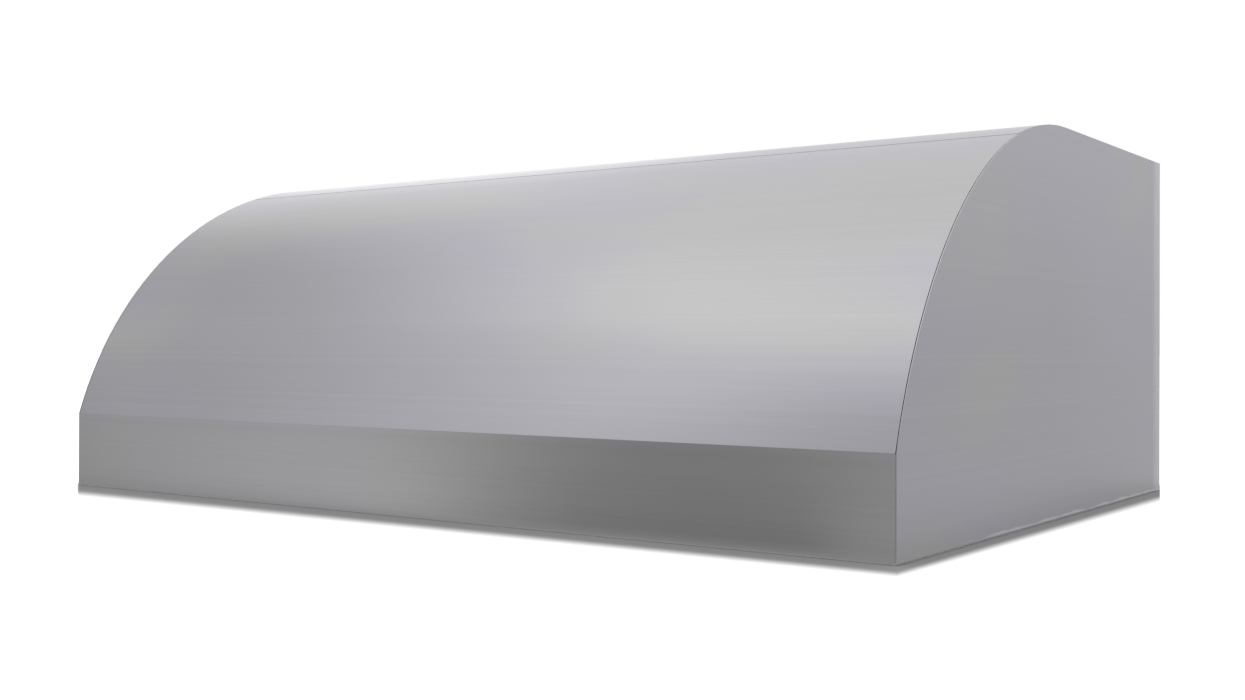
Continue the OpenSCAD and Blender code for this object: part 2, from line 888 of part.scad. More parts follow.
module blower_housing(s) {
    color(zinc) on_blower(s) difference() {
        union() {
            along_x(scroll_x, scroll_x + scroll_w) scroll(scroll_t, blower_rise);
            outlet_flange();
        }
        along_x(scroll_x + scroll_t, scroll_x + scroll_w - scroll_t) scroll(0, blower_rise + 2);
        round_x(scroll_x - 1, scroll_x + scroll_t + 1, scroll_hole_r);
        round_x(scroll_x + scroll_w - scroll_t - 1, scroll_x + scroll_w + 1, inlet_r + inlet_roll);
    }
}

module outlet_flange() {
    flange = 8;
    short = 3;
    translate([scroll_x, outlet_near - flange, blower_rise - scroll_t])
        cube([scroll_w + flange, outlet_far - outlet_near + flange + short, scroll_t]);
}

module blower_housing_left() {
    blower_housing(-1);
}

module blower_housing_right() {
    blower_housing(1);
}

module inlet_ring(s) {
    face = scroll_x + scroll_w;
    r_mid = inlet_r + inlet_roll;
    color(zinc) on_blower(s) translate([face, 0, 0]) rotate([0, 90, 0])
        rotate_extrude() union() {
            translate([r_mid, 0]) square([14, scroll_t]);
            intersection() {
                translate([r_mid, scroll_t - inlet_roll]) difference() {
                    circle(r = inlet_roll);
                    circle(r = inlet_roll - scroll_t);
                }
                translate([inlet_r - 1, scroll_t - inlet_roll]) square([inlet_roll + 1, inlet_roll]);
            }
        }
}

module inlet_ring_left() {
    inlet_ring(-1);
}

module inlet_ring_right() {
    inlet_ring(1);
}

module impeller(s) {
    ring_t = 1.2;
    lean = 12;
    color(zinc) on_blower(s) difference() {
        union() {
            round_x(wheel_x, wheel_x + ring_t, wheel_r);
            round_x(wheel_x, wheel_x + hub_l, hub_r);
            along_x(wheel_x + wheel_w - ring_t, wheel_x + wheel_w) difference() {
                circle(r = wheel_r);
                circle(r = blade_in_r);
            }
            along_x(wheel_x + ring_t / 2, wheel_x + wheel_w - ring_t / 2)
                for (k = [0:blade_count - 1]) rotate(k * 360 / blade_count) blade(lean);
        }
        round_x(wheel_x - 1, wheel_x + hub_l + 1, motor_shaft_r + turn_fit / 2);
    }
}

module blade(r) {
    intersection() {
        translate([blade_in_r + 4, -r]) difference() {
            circle(r = r, $fn = 48);
            circle(r = r - blade_t, $fn = 48);
        }
        difference() {
            circle(r = wheel_r - 0.2);
            circle(r = blade_in_r + 0.2);
        }
        translate([blade_in_r - 2, -r]) square([wheel_r - blade_in_r + 4, 2 * r]);
    }
}

module impeller_left() {
    impeller(-1);
}

module impeller_right() {
    impeller(1);
}

module motor() {
    bell_r = motor_r - 8;
    bell = 22;
    color(black) on_blower(1) difference() {
        union() {
            round_x(-motor_half + bell, motor_half - bell, motor_r);
            round_x(-motor_half, motor_half, bell_r);
            for (s = SIDES) translate([s * (motor_half - bell), 0, 0]) rotate([0, 90, 0])
                rotate_extrude() intersection() {
                    translate([bell_r, 0]) circle(r = motor_r - bell_r);
                    translate([bell_r - 1, -motor_r]) square([motor_r, 2 * motor_r]);
                }
        }
        round_x(-motor_half - 1, motor_half + 1, motor_shaft_r + 2);
        for (s = SIDES) translate([s * (motor_half - bearing_l / 2), 0, 0])
            round_x(-bearing_l / 2 - 0.01, bearing_l / 2 + 0.01, bearing_r);
    }
}

module motor_shaft() {
    color(steel_dark) on_blower(1) round_x(-motor_shaft_l / 2, motor_shaft_l / 2, motor_shaft_r);
}

module motor_bearings() {
    color(steel) on_blower(1) for (s = SIDES)
        translate([s * (motor_half - bearing_l / 2) - bearing_l / 2, 0, 0]) rotate([0, 90, 0])
            tube_z(0, bearing_l, bearing_r - turn_fit, motor_shaft_r + turn_fit);
}

module motor_mounts() {
    color(rubber) on_blower(1) for (s = SIDES)
        translate([s * (scroll_x - motor_mount_t / 2) - motor_mount_t / 2, 0, 0])
            rotate([0, 90, 0]) tube_z(0, motor_mount_t, scroll_hole_r + 16, scroll_hole_r);
}

module motor_capacitor() {
    y = duct_y - outlet_d / 2 - seat - capacitor_r;
    z = outlet_floor + outlet_h / 2;
    color([0.75, 0.76, 0.78]) hung() translate([60, y, z]) union() {
        round_x(0, capacitor_l, capacitor_r);
        round_x(-3, 0.5, capacitor_r - 3);
        for (k = SIDES) translate([0, k * 6, 0]) round_x(-9, -2, 1.6);
    }
}

// Duct

module outlet_box() {
    flange = 14;
    x = outlet_w / 2;
    y0 = duct_y - outlet_d / 2;
    edge = 2;
    color(zinc) hung() difference() {
        union() {
            translate([-x, y0, outlet_floor]) cube([outlet_w, outlet_d, outlet_h]);
            translate([-x - flange, y0 - flange, outlet_top - scroll_t])
                cube([outlet_w + 2 * flange, outlet_d + flange + 4, scroll_t]);
        }
        translate([-x + scroll_t, y0 + scroll_t, outlet_floor + scroll_t])
            cube([outlet_w - 2 * scroll_t, outlet_d - 2 * scroll_t, outlet_h + 1]);
        for (s = SIDES) translate([s * (scroll_x + scroll_w / 2) - scroll_w / 2 + edge,
            axis_y + outlet_near + edge, outlet_floor - 1])
                cube([scroll_w - 2 * edge, outlet_far - outlet_near - 2 * edge, scroll_t + 2]);
        for (i = [0:collar_screws - 1]) at_collar_screw(i)
            translate([0, 0, outlet_top - scroll_t - 1]) cylinder(h = scroll_t + 2, r = screw_hole_r);
    }
}

module duct_collar() {
    ledge = 6;
    ledge_t = 1.2;
    color(steel) hung() difference() {
        translate([0, duct_y, 0]) union() {
            tube_z(hood_h, hood_h + collar_up, duct_r, collar_in);
            tube_z(hood_h, hood_h + bead_h, duct_r + bead_w, collar_in);
            tube_z(hood_h, hood_h + collar_t, duct_r + collar_flange, duct_r - collar_t / 2);
            tube_z(hood_h - collar_down, hood_h + collar_t, throat_r + collar_t, throat_r);
            tube_z(gasket_low - ledge_t, gasket_low, throat_r + collar_t / 2, throat_r - ledge);
        }
        translate([0, duct_y, damper_z]) rotate([0, 0, 90])
            round_x(-duct_r - 1, duct_r + 1, damper_rod_r + turn_fit);
        for (i = [0:collar_screws - 1]) at_collar_screw(i)
            translate([0, 0, hood_h - 1]) cylinder(h = collar_t + 2, r = screw_hole_r);
    }
}

module damper_rod() {
    color(steel_dark) hung() translate([0, duct_y, damper_z]) rotate([0, 0, 90])
        round_x(-duct_r + collar_t / 2, duct_r - collar_t / 2, damper_rod_r);
}

// The flap on the right of the rod, with its two curls round the rod.
module damper_flap(curls) {
    cut = curl_r + 1.6;
    union() {
        difference() {
            translate([0, 0, -flap_t / 2]) cylinder(h = flap_t, r = flap_r);
            translate([-2 * flap_r + cut, -2 * flap_r, -5]) cube([2 * flap_r, 4 * flap_r, 10]);
        }
        for (y = curls) translate([0, y, 0]) difference() {
            union() {
                rotate([-90, 0, 0]) cylinder(h = curl_l, r = curl_r);
                translate([0, 0, -flap_t / 2]) cube([cut + 1, curl_l, flap_t]);
            }
            translate([0, -1, 0]) rotate([-90, 0, 0]) cylinder(h = curl_l + 2, r = curl_in);
        }
    }
}

module damper_flap_left() {
    color(steel) hung() translate([0, duct_y, damper_z]) mirror([1, 0, 0])
        damper_flap([-curl_far, curl_near]);
}

module damper_flap_right() {
    color(steel) hung() translate([0, duct_y, damper_z]) damper_flap([-curl_near - curl_l, curl_far - curl_l]);
}

module damper_gasket() {
    color(rubber) hung() translate([0, duct_y, 0]) difference() {
        tube_z(gasket_low, damper_z - flap_t / 2 - seat, throat_r - 0.1, throat_r - 6);
        translate([-curl_r - 1, -duct_r, gasket_low - 1]) cube([2 * curl_r + 2, 2 * duct_r, 10]);
    }
}

// Wiring

module junction_box() {
    w = junction_w;
    color(zinc) hung() translate([-knockout_x, knockout_y, top_in - junction_h]) difference() {
        translate([-w / 2, -w / 2, 0]) cube([w, w, junction_h]);
        translate([-w / 2 + 1, -w / 2 + 1, -1]) cube([w - 2, w - 2, junction_h + 2]);
    }
}

module junction_cover() {
    w = junction_w + 2;
    color(zinc) hung() translate([-knockout_x, knockout_y, top_in - junction_h - 1.2]) difference() {
        translate([-w / 2, -w / 2, 0]) cube([w, w, 1.2]);
        for (s = SIDES) translate([s * (w / 2 - 10), 0, -1]) cylinder(h = 4, r = screw_hole_r);
    }
}

// A conduit through a list of places, with a round fitting at each turn.
module conduit(route) {
    fitting_r = conduit_r + 1.5;
    for (i = [0:len(route) - 2]) {
        step = route[i + 1] - route[i];
        length = norm(step);
        turn = atan2(step[1], step[0]);
        translate(route[i]) rotate([0, acos(step[2] / length), turn])
            cylinder(h = length, r = conduit_r, $fn = 32);
    }
    for (i = [1:len(route) - 2]) translate(route[i])
        sphere(r = fitting_r, $fn = 32);
}

// A place on the conduit where it follows the curved sheet.
function on_bend(r, angle) = [-conduit_x, arc_back - r * cos(angle), arc_up + r * sin(angle)];

module wiring_conduit() {
    box_left = -knockout_x - junction_w / 2 - seat;
    box_front = knockout_y - junction_w / 2 - seat;
    lead_up = top_in - conduit_down;
    bend_r = arc_r - conduit_down - 20;
    front_route = [
        [box_left, knockout_y, lead_up],
        [-conduit_x, knockout_y, lead_up],
        [-conduit_x, arc_back, lead_up],
        on_bend(bend_r, 70),
        on_bend(bend_r, 50),
        on_bend(bend_r, 36),
        [-conduit_x, run_back, run_up],
        [-box_w / 2 - seat, run_back, run_up]
    ];
    motor_route = [
        [-knockout_x, box_front, lead_up],
        [-knockout_x, motor_lead_y, lead_up],
        [0, motor_lead_y, lead_up],
        [0, motor_lead_y, axis_z],
        [0, axis_y - motor_r - seat, axis_z]
    ];
    color(zinc) hung() union() {
        conduit(front_route);
        translate([box_w / 2 + seat, run_back, run_up])
            round_x(0, lamp_outer_x - box_w / 2, conduit_r);
        conduit(motor_route);
    }
}

// Controls

module control_box() {
    color(zinc) hung() translate([-box_w / 2, lamp_back - box_d / 2, panel_top]) difference() {
        cube([box_w, box_d, box_h]);
        translate([1, 1, -1]) cube([box_w - 2, box_d - 2, box_h]);
    }
}

module at_knob(s) {
    hung() translate([s * knob_x, lamp_back, 0]) children();
}

module switch_body(s) {
    color([0.2, 0.2, 0.22]) at_knob(s) difference() {
        union() {
            translate([-switch_w / 2, -switch_w / 2, panel_top]) cube([switch_w, switch_w, switch_h]);
            translate([0, 0, bush_low]) cylinder(h = panel_top - bush_low + 1, r = bush_r);
            translate([0, 0, panel_up - nut_h]) cylinder(h = nut_h, r = bush_r + 3.4, $fn = 6);
        }
        translate([0, 0, bush_low - 1])
            cylinder(h = panel_top - bush_low + switch_h - 1, r = knob_shaft_r + turn_fit);
    }
}

module fan_switch() {
    switch_body(-1);
}

module light_dimmer() {
    switch_body(1);
}

module knob_shaft(s) {
    color(steel_dark) at_knob(s) translate([0, 0, shaft_low])
        cylinder(h = panel_top + switch_h - 4 - shaft_low, r = knob_shaft_r);
}

module fan_knob_shaft() {
    knob_shaft(-1);
}

module light_knob_shaft() {
    knob_shaft(1);
}

module knob(s) {
    flutes = 12;
    flute_r = 3;
    color(steel) at_knob(s) difference() {
        union() {
            translate([0, 0, knob_low]) cylinder(h = knob_h, r = knob_r - 1);
            translate([0, 0, knob_top - 3]) cylinder(h = 3, r = knob_r);
        }
        translate([0, 0, cavity_top]) cylinder(h = knob_h, r = bush_r + 5);
        translate([0, 0, shaft_low]) cylinder(h = knob_h, r = knob_shaft_r + turn_fit / 2);
        for (k = [0:flutes - 1]) rotate([0, 0, (k + 0.5) * 360 / flutes])
            translate([knob_r + flute_r * 0.45, 0, knob_low - 1])
                cylinder(h = knob_h - 3, r = flute_r, $fn = 32);
        translate([-0.8, -knob_r, knob_low - 0.1]) cube([1.6, knob_r * 0.6, 0.9]);
    }
}

module fan_knob() {
    knob(-1);
}

module light_knob() {
    knob(1);
}

// Lamps

module at_lamps() {
    hung() for (x = lamp_xs) translate([x, lamp_back, 0]) children();
}

module lamp_cans() {
    color(zinc) at_lamps() difference() {
        translate([0, 0, panel_top]) cylinder(h = lamp_can_h, r = lamp_can_r);
        translate([0, 0, panel_top - 1]) cylinder(h = lamp_can_h + 1 - lamp_t, r = lamp_can_r - lamp_t);
    }
}

module lamp_trims() {
    color(steel) at_lamps() union() {
        tube_z(panel_up - trim_t, panel_up, lamp_can_r + lamp_trim_w, lens_r - 3);
        tube_z(panel_up - trim_t / 2, panel_up + 6, trim_collar_r, trim_collar_r - lamp_t);
    }
}

module lamp_lenses() {
    color([0.85, 0.9, 0.92, 0.5]) at_lamps() translate([0, 0, panel_up])
        cylinder(h = lens_t, r = lens_r);
}

module lamp_bulbs() {
    roof = can_roof - lamp_t;
    front = panel_up + lens_t + 4;
    rim = 3;
    neck = 9;
    color([0.95, 0.94, 0.88]) at_lamps() union() {
        translate([0, 0, front]) cylinder(h = rim, r = bulb_r);
        translate([0, 0, front + rim]) cylinder(h = roof - front - rim - 12, r1 = bulb_r, r2 = neck);
        translate([0, 0, roof - 12]) cylinder(h = 12, r = neck);
    }
}

// Screws

// A pan head screw along +Z, with the underside of its head at the origin.
module pan_screw(length) {
    head_r = 2 * screw_r;
    head_h = 1.2 * screw_r;
    dome = 0.5;
    union() {
        translate([0, 0, -head_h + dome]) cylinder(h = head_h - dome, r = head_r, $fn = 32);
        translate([0, 0, -head_h]) cylinder(h = dome, r1 = head_r - dome, r2 = head_r, $fn = 32);
        translate([0, 0, -0.1]) cylinder(h = length + 0.1, r = screw_r, $fn = 32);
    }
}

module pan_head_screws() {
    length = 7;
    color(steel) hung() union() {
        for (x = flange_screw_x)
            translate([x, panel_back + liner_t, panel_up + panel_flange / 2]) rotate([90, 0, 0])
                pan_screw(length);
        for (i = [0:collar_screws - 1]) at_collar_screw(i)
            translate([0, 0, hood_h + collar_t]) rotate([180, 0, 0]) pan_screw(length);
        for (s = SIDES) translate([-knockout_x + s * ((junction_w + 2) / 2 - 10), knockout_y,
            top_in - junction_h - 1.2]) pan_screw(length);
    }
}

front_panel();
top_panel();
side_panel_left();
side_panel_right();
back_panel();
seam_strip();
wall_rail_upper();
wall_rail_lower();
lamp_panel();
capture_liner();
front_filter_rail();
filter_rod();
rear_filter_rail();
side_rail_left();
side_rail_right();
grease_tray();
filter_frame_1();
filter_frame_2();
filter_frame_3();
filter_baffles_1();
filter_baffles_2();
filter_baffles_3();
filter_handle_1();
filter_handle_2();
filter_handle_3();
filter_latch_1();
filter_latch_2();
filter_latch_3();
blower_housing_left();
blower_housing_right();
inlet_ring_left();
inlet_ring_right();
impeller_left();
impeller_right();
motor();
motor_shaft();
motor_bearings();
motor_mounts();
outlet_box();
duct_collar();
damper_rod();
damper_flap_left();
damper_flap_right();
damper_gasket();
junction_box();
junction_cover();
motor_capacitor();
wiring_conduit();
control_box();
fan_knob();
light_knob();
fan_knob_shaft();
light_knob_shaft();
fan_switch();
light_dimmer();
lamp_cans();
lamp_trims();
lamp_lenses();
lamp_bulbs();
pan_head_screws();
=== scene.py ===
"""An outdoor canopy range hood in brushed stainless steel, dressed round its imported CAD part.

The frame is in metres: X along the wall, -Y the front, +Z up, with the origin on the back
face, at the centre of the wall screws.
"""

import json
import math

import bmesh
import bpy
from mathutils import Matrix, Vector

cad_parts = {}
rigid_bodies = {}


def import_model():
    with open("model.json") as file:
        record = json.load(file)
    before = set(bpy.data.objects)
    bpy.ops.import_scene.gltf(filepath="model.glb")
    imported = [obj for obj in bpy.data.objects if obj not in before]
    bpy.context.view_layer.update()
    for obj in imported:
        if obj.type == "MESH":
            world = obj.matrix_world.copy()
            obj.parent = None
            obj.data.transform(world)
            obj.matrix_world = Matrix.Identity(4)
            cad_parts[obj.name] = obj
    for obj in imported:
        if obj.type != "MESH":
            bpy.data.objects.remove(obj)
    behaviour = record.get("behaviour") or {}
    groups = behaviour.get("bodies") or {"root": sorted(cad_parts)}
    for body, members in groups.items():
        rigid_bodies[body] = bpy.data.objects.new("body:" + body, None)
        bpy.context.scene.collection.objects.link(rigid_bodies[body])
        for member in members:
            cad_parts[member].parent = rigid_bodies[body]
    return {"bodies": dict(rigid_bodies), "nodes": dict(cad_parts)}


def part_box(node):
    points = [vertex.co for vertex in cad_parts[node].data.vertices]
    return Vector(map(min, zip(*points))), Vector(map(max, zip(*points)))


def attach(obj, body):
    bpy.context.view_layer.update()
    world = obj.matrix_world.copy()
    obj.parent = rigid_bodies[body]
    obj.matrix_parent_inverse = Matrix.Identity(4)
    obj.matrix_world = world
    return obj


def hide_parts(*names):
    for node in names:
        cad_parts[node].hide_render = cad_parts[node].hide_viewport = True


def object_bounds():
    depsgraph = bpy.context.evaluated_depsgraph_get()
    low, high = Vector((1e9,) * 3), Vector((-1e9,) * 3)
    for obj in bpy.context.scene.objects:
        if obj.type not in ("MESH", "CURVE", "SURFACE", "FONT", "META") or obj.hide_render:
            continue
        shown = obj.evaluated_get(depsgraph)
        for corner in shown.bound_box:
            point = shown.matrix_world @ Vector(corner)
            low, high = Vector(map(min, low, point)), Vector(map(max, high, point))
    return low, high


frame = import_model()
cad_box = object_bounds()

MM = 0.001


def under_middle(name):
    """The middle of the underside of a node's box."""
    low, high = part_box(name)
    return Vector(((low.x + high.x) / 2, (low.y + high.y) / 2, low.z))


cad_low, cad_high = cad_box
HALF_WIDTH = cad_high.x
FRONT = cad_low.y
BACK = cad_high.y
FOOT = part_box("side_panel_right")[0].z
BAND = 101.6 * MM
SHEET = 1.2 * MM
KNOB_AXIS = under_middle("light_knob")


# Finishes


def grey(level):
    return (level, level, level)


class Field:
    """A number that changes over a surface, as a socket. Sums of fields add their Math nodes."""

    def __init__(self, finish, socket):
        self.finish = finish
        self.socket = socket

    def maths(self, operation, *others):
        return self.finish.maths(operation, self, *others)

    def __add__(self, other):
        return self.maths("ADD", other)

    __radd__ = __add__

    def __mul__(self, other):
        return self.maths("MULTIPLY", other)

    def __sub__(self, other):
        return self.maths("SUBTRACT", other)

    def __rsub__(self, other):
        return self.finish.maths("SUBTRACT", other, self)

    def __truediv__(self, other):
        return self.maths("DIVIDE", other)

    def __abs__(self):
        return self.maths("ABSOLUTE")

    def __pow__(self, other):
        return self.maths("POWER", other)

    def step(self, start, end):
        """0 below start and 1 above end, smooth between them, and reversed if end is lower."""
        node = self.finish.node(
            "ShaderNodeMapRange",
            {"interpolation_type": "SMOOTHSTEP"},
            {"Value": self.socket, "From Min": start, "From Max": end},
        )
        return Field(self.finish, node.outputs["Result"])


class Finish:
    """A procedural material on Object coordinates, which can be tilted about the X axis."""

    def __init__(self, name, tilt=0.0):
        self.material = bpy.data.materials.new(name)
        self.material.use_nodes = True
        self.tree = self.material.node_tree
        self.tree.nodes.clear()
        self.output = self.node("ShaderNodeOutputMaterial")
        self.coordinates = self.node("ShaderNodeTexCoord").outputs["Object"]
        if tilt:
            tilted = self.node(
                "ShaderNodeMapping", None, {"Vector": self.coordinates, "Rotation": (tilt, 0, 0)}
            )
            self.coordinates = tilted.outputs["Vector"]

    def node(self, kind, settings=None, sockets=None):
        made = self.tree.nodes.new(kind)
        for key, value in (settings or {}).items():
            if key == "stops":
                ramp = made.color_ramp.elements
                while len(ramp) < len(value):
                    ramp.new(1.0)
                for stop, (place, colour) in zip(ramp, value):
                    stop.position = place
                    stop.color = (*colour, 1)
            else:
                setattr(made, key, value)
        for key, value in (sockets or {}).items():
            if isinstance(value, Field):
                value = value.socket
            if isinstance(value, bpy.types.NodeSocket):
                self.tree.links.new(value, made.inputs[key])
            else:
                made.inputs[key].default_value = value
        return made

    def maths(self, operation, *values):
        made = self.node("ShaderNodeMath", {"operation": operation}, dict(enumerate(values)))
        return Field(self, made.outputs[0])

    def place(self, stretch=(1, 1, 1), shift=(0, 0, 0)):
        """The Object coordinates, stretched along the three axes and then shifted."""
        mapping = self.node(
            "ShaderNodeMapping",
            None,
            {"Vector": self.coordinates, "Scale": stretch, "Location": shift},
        )
        return mapping.outputs["Vector"]

    def axes(self):
        parts = self.node("ShaderNodeSeparateXYZ", None, {0: self.coordinates})
        return [Field(self, parts.outputs[k]) for k in range(3)]

    def noise(self, scale, stretch=(1, 1, 1), detail=2.0, rough=0.5, shift=(0, 0, 0)):
        place = self.place(stretch, shift)
        made = self.node(
            "ShaderNodeTexNoise",
            None,
            {"Vector": place, "Scale": scale, "Detail": detail, "Roughness": rough},
        )
        return Field(self, made.outputs["Fac"])

    def cells(self, scale, feature="F1"):
        return self.node(
            "ShaderNodeTexVoronoi",
            {"feature": feature},
            {"Vector": self.coordinates, "Scale": scale},
        )

    def greys(self, factor, stops):
        """A ramp of greys, from the place and level of each stop."""
        colours = [(place, grey(level)) for place, level in stops]
        made = self.node("ShaderNodeValToRGB", {"stops": colours}, {"Fac": factor})
        return made.outputs["Color"]

    def blend(self, factor, first, second, mode="MIX"):
        """One colour into another."""
        colours = [c if isinstance(c, bpy.types.NodeSocket) else (*c, 1) for c in (first, second)]
        made = self.node(
            "ShaderNodeMix",
            {"data_type": "RGBA", "blend_type": mode},
            {0: factor, 6: colours[0], 7: colours[1]},
        )
        return made.outputs[2]

    def bump(self, height, distance, strength):
        made = self.node(
            "ShaderNodeBump",
            None,
            {"Height": height, "Distance": distance, "Strength": strength},
        )
        return made.outputs["Normal"]

    def surface(self, sockets):
        shader = self.node("ShaderNodeBsdfPrincipled", None, sockets)
        self.tree.links.new(shader.outputs[0], self.output.inputs["Surface"])
        return self.material


def grain_scale(along, with_grain, across):
    """How often a noise repeats along the grain's axis and across it."""
    return [with_grain if axis == along else across for axis in range(3)]


MILL_LIGHT = (0.60, 0.60, 0.61)
MILL_DARK = (0.48, 0.48, 0.49)
MILL_GLINT = (0.95, 0.95, 0.97)
MILL_SCORE = [level * 0.6 for level in MILL_DARK]
MILL_ROUGH = 0.28
MILL_RELIEF = 0.042 * MM


def mill_steel(name, along, tilt=0.0):
    """Inner stainless sheet as it leaves the mill, with its grain along one axis."""
    finish = Finish(name, tilt)
    scratches = finish.noise(4.0, grain_scale(along, 1.0, 260.0), detail=3.0, rough=0.65)
    streaks = finish.noise(3.0, grain_scale(along, 0.7, 60.0), detail=2.0)
    cloud = finish.noise(2.6, (1, 1, 1.6), detail=1.5)
    tone = finish.blend((cloud * 0.5 + streaks * 0.3).step(0.2, 0.75), MILL_DARK, MILL_LIGHT)
    glinting = finish.blend(scratches.step(0.3, 0.7) * 0.112, tone, MILL_GLINT)
    scored = finish.blend((0.5 - scratches).step(0.02, 0.3) * 0.21, glinting, MILL_SCORE)
    return finish.surface(
        {
            "Base Color": scored,
            "Metallic": 1.0,
            "Roughness": streaks * 0.1 + scratches * 0.08 + MILL_ROUGH,
            "Normal": finish.bump(scratches * 0.7 + streaks * 0.3, MILL_RELIEF, 0.5),
        }
    )


CLOUD_SHIFT = (0.35, 0.0, 0.4)
SKIN_LILAC = (0.561, 0.553, 0.617)
SKIN_WARM = (0.582, 0.58, 0.584)
SKIN_PLAIN = (0.56, 0.56, 0.56)
SKIN_DULL = (0.50, 0.495, 0.51)
SKIN_BRIGHT = (0.78, 0.78, 0.8)
SKIN_WORN = (0.86, 0.86, 0.9)
SKIN_SCORE = (0.36, 0.36, 0.38)
SKIN_ROUGH = 0.262
SKIN_RELIEF = 0.008 * MM


def skin_parts(name, along):
    """A finish for an outer sheet, with the grain, streaks and two kinds of cloud that it uses."""
    finish = Finish(name)
    wide = grain_scale(along, 0.55, 1.3)
    grain = finish.noise(3.0, grain_scale(along, 0.15, 100.0), detail=1.0)
    streaks = finish.noise(2.0, grain_scale(along, 0.3, 26.0), detail=1.0)
    tint = finish.noise(3.4, wide, detail=3.0, rough=0.45, shift=CLOUD_SHIFT)
    shade = finish.noise(2.2, wide, detail=3.0, rough=0.4)
    return finish, grain, streaks, tint, shade


def skin_surface(finish, colour, grain, streaks, shade):
    """The finish of an outer sheet, with its bright and dark scratches laid over its colour."""
    colour = finish.blend((grain - 0.5).step(0.0, 0.22) * 0.05, colour, SKIN_BRIGHT)
    colour = finish.blend((0.5 - grain).step(0.0, 0.22) * 0.055, colour, SKIN_SCORE)
    return finish.surface(
        {
            "Base Color": colour,
            "Metallic": 1.0,
            "Roughness": streaks * 0.03 + grain * 0.015 + shade * 0.04 + SKIN_ROUGH,
            "Normal": finish.bump(grain, SKIN_RELIEF, 0.5),
        }
    )


# Where the front sheet's colour changes: along X at its left end and on its band, and back from
# the front at its crown

LEFT_END = (-0.38, -0.54)
BAND_DULLS = (-0.35, 0.25)
BAND_SOFT = 3 * MM
CROWN = (FRONT + 0.24, FRONT + 0.30)


def front_skin():
    """The front and top sheets: grain along the wall, plain at the band and the left end, warm
    clouds high on the right and lilac ones below."""
    finish, grain, streaks, tint, shade = skin_parts("brushed along the wall", 0)
    x, y, z = finish.axes()
    slant = z + x * 0.25
    left_end = x.step(*LEFT_END)
    leaning = slant.step(0.0, 0.1) * 0.15 - slant.step(0.02, -0.08) * 0.09 + left_end * 0.1
    warm = (tint * 0.8 + leaning + 0.1).step(0.5, 0.64) * (1 - y.step(*CROWN) * 0.8)
    colour = finish.blend(warm, SKIN_LILAC, SKIN_WARM)
    band = z.step(FOOT + BAND + BAND_SOFT, FOOT + BAND - BAND_SOFT)
    plain = band * (x.step(*BAND_DULLS) * 0.4 + 0.6)
    colour = finish.blend(plain, colour, SKIN_PLAIN)
    colour = finish.blend((shade + left_end * 0.1).step(0.62, 0.3) * 0.5, colour, SKIN_DULL)
    return skin_surface(finish, colour, grain, streaks, shade)


# Where the side panels are warmer, and where handling has worn them: up to WEAR_RISE above the
# foot behind WEAR_START, though not on its very edge, and along the back edge

SIDE_WARMS = (-0.5, -0.2)
WEAR_START = (-0.78, -0.62)
WEAR_RISE = 10 * MM
WEAR_DROP = 1.5 * MM
WEAR_SOFT = 1 * MM
WEAR_EDGE = (FOOT + 0.8 * MM, FOOT + 2 * MM)
BACK_WEAR = (BACK - 34 * MM, BACK - 2 * MM)
BACK_RAGGED = 20 * MM


def side_skin():
    """The side panels: grain front to back, with edges that handling has polished."""
    finish, grain, streaks, tint, shade = skin_parts("brushed front to back", 1)
    x, y, z = finish.axes()
    warm = (tint + y.step(*SIDE_WARMS) * 0.04).step(0.52, 0.64)
    colour = finish.blend(warm, SKIN_LILAC, SKIN_WARM)
    colour = finish.blend(shade.step(0.62, 0.3) * 0.4, colour, SKIN_DULL)
    wear = finish.noise(14.0, (1, 1, 0.3), detail=3.0) * WEAR_RISE - WEAR_DROP
    foot = (z - FOOT - wear).step(WEAR_SOFT, -WEAR_SOFT) * y.step(*WEAR_START)
    foot = foot * z.step(*WEAR_EDGE)
    ragged = finish.noise(26.0, detail=4.0) * BACK_RAGGED
    back = (y + ragged).step(*BACK_WEAR) * 0.7
    colour = finish.blend(foot.maths("MAXIMUM", back) * 0.8, colour, SKIN_WORN)
    return skin_surface(finish, colour, grain, streaks, shade)


def satin_steel(name, light, dark, rough):
    """Drawn or turned steel, with a faint haze and no grain."""
    finish = Finish(name)
    haze = finish.noise(30.0, detail=3.0)
    fine = finish.noise(900.0, detail=2.0)
    return finish.surface(
        {
            "Base Color": finish.blend(haze, dark, light),
            "Metallic": 1.0,
            "Roughness": haze * 0.12 + (rough - 0.06),
            "Normal": finish.bump(fine, 0.02 * MM, 0.4),
        }
    )


KNOB_LIGHT = (0.68, 0.68, 0.69)
KNOB_DARK = (0.56, 0.56, 0.57)
POINTER_BLACK = (0.015, 0.015, 0.016)
POINTER_EDGE = (0.86 * MM, 0.78 * MM)
POINTER_START = (-7.4 * MM, -7.7 * MM)
RINGS_PER_METRE = 2600.0


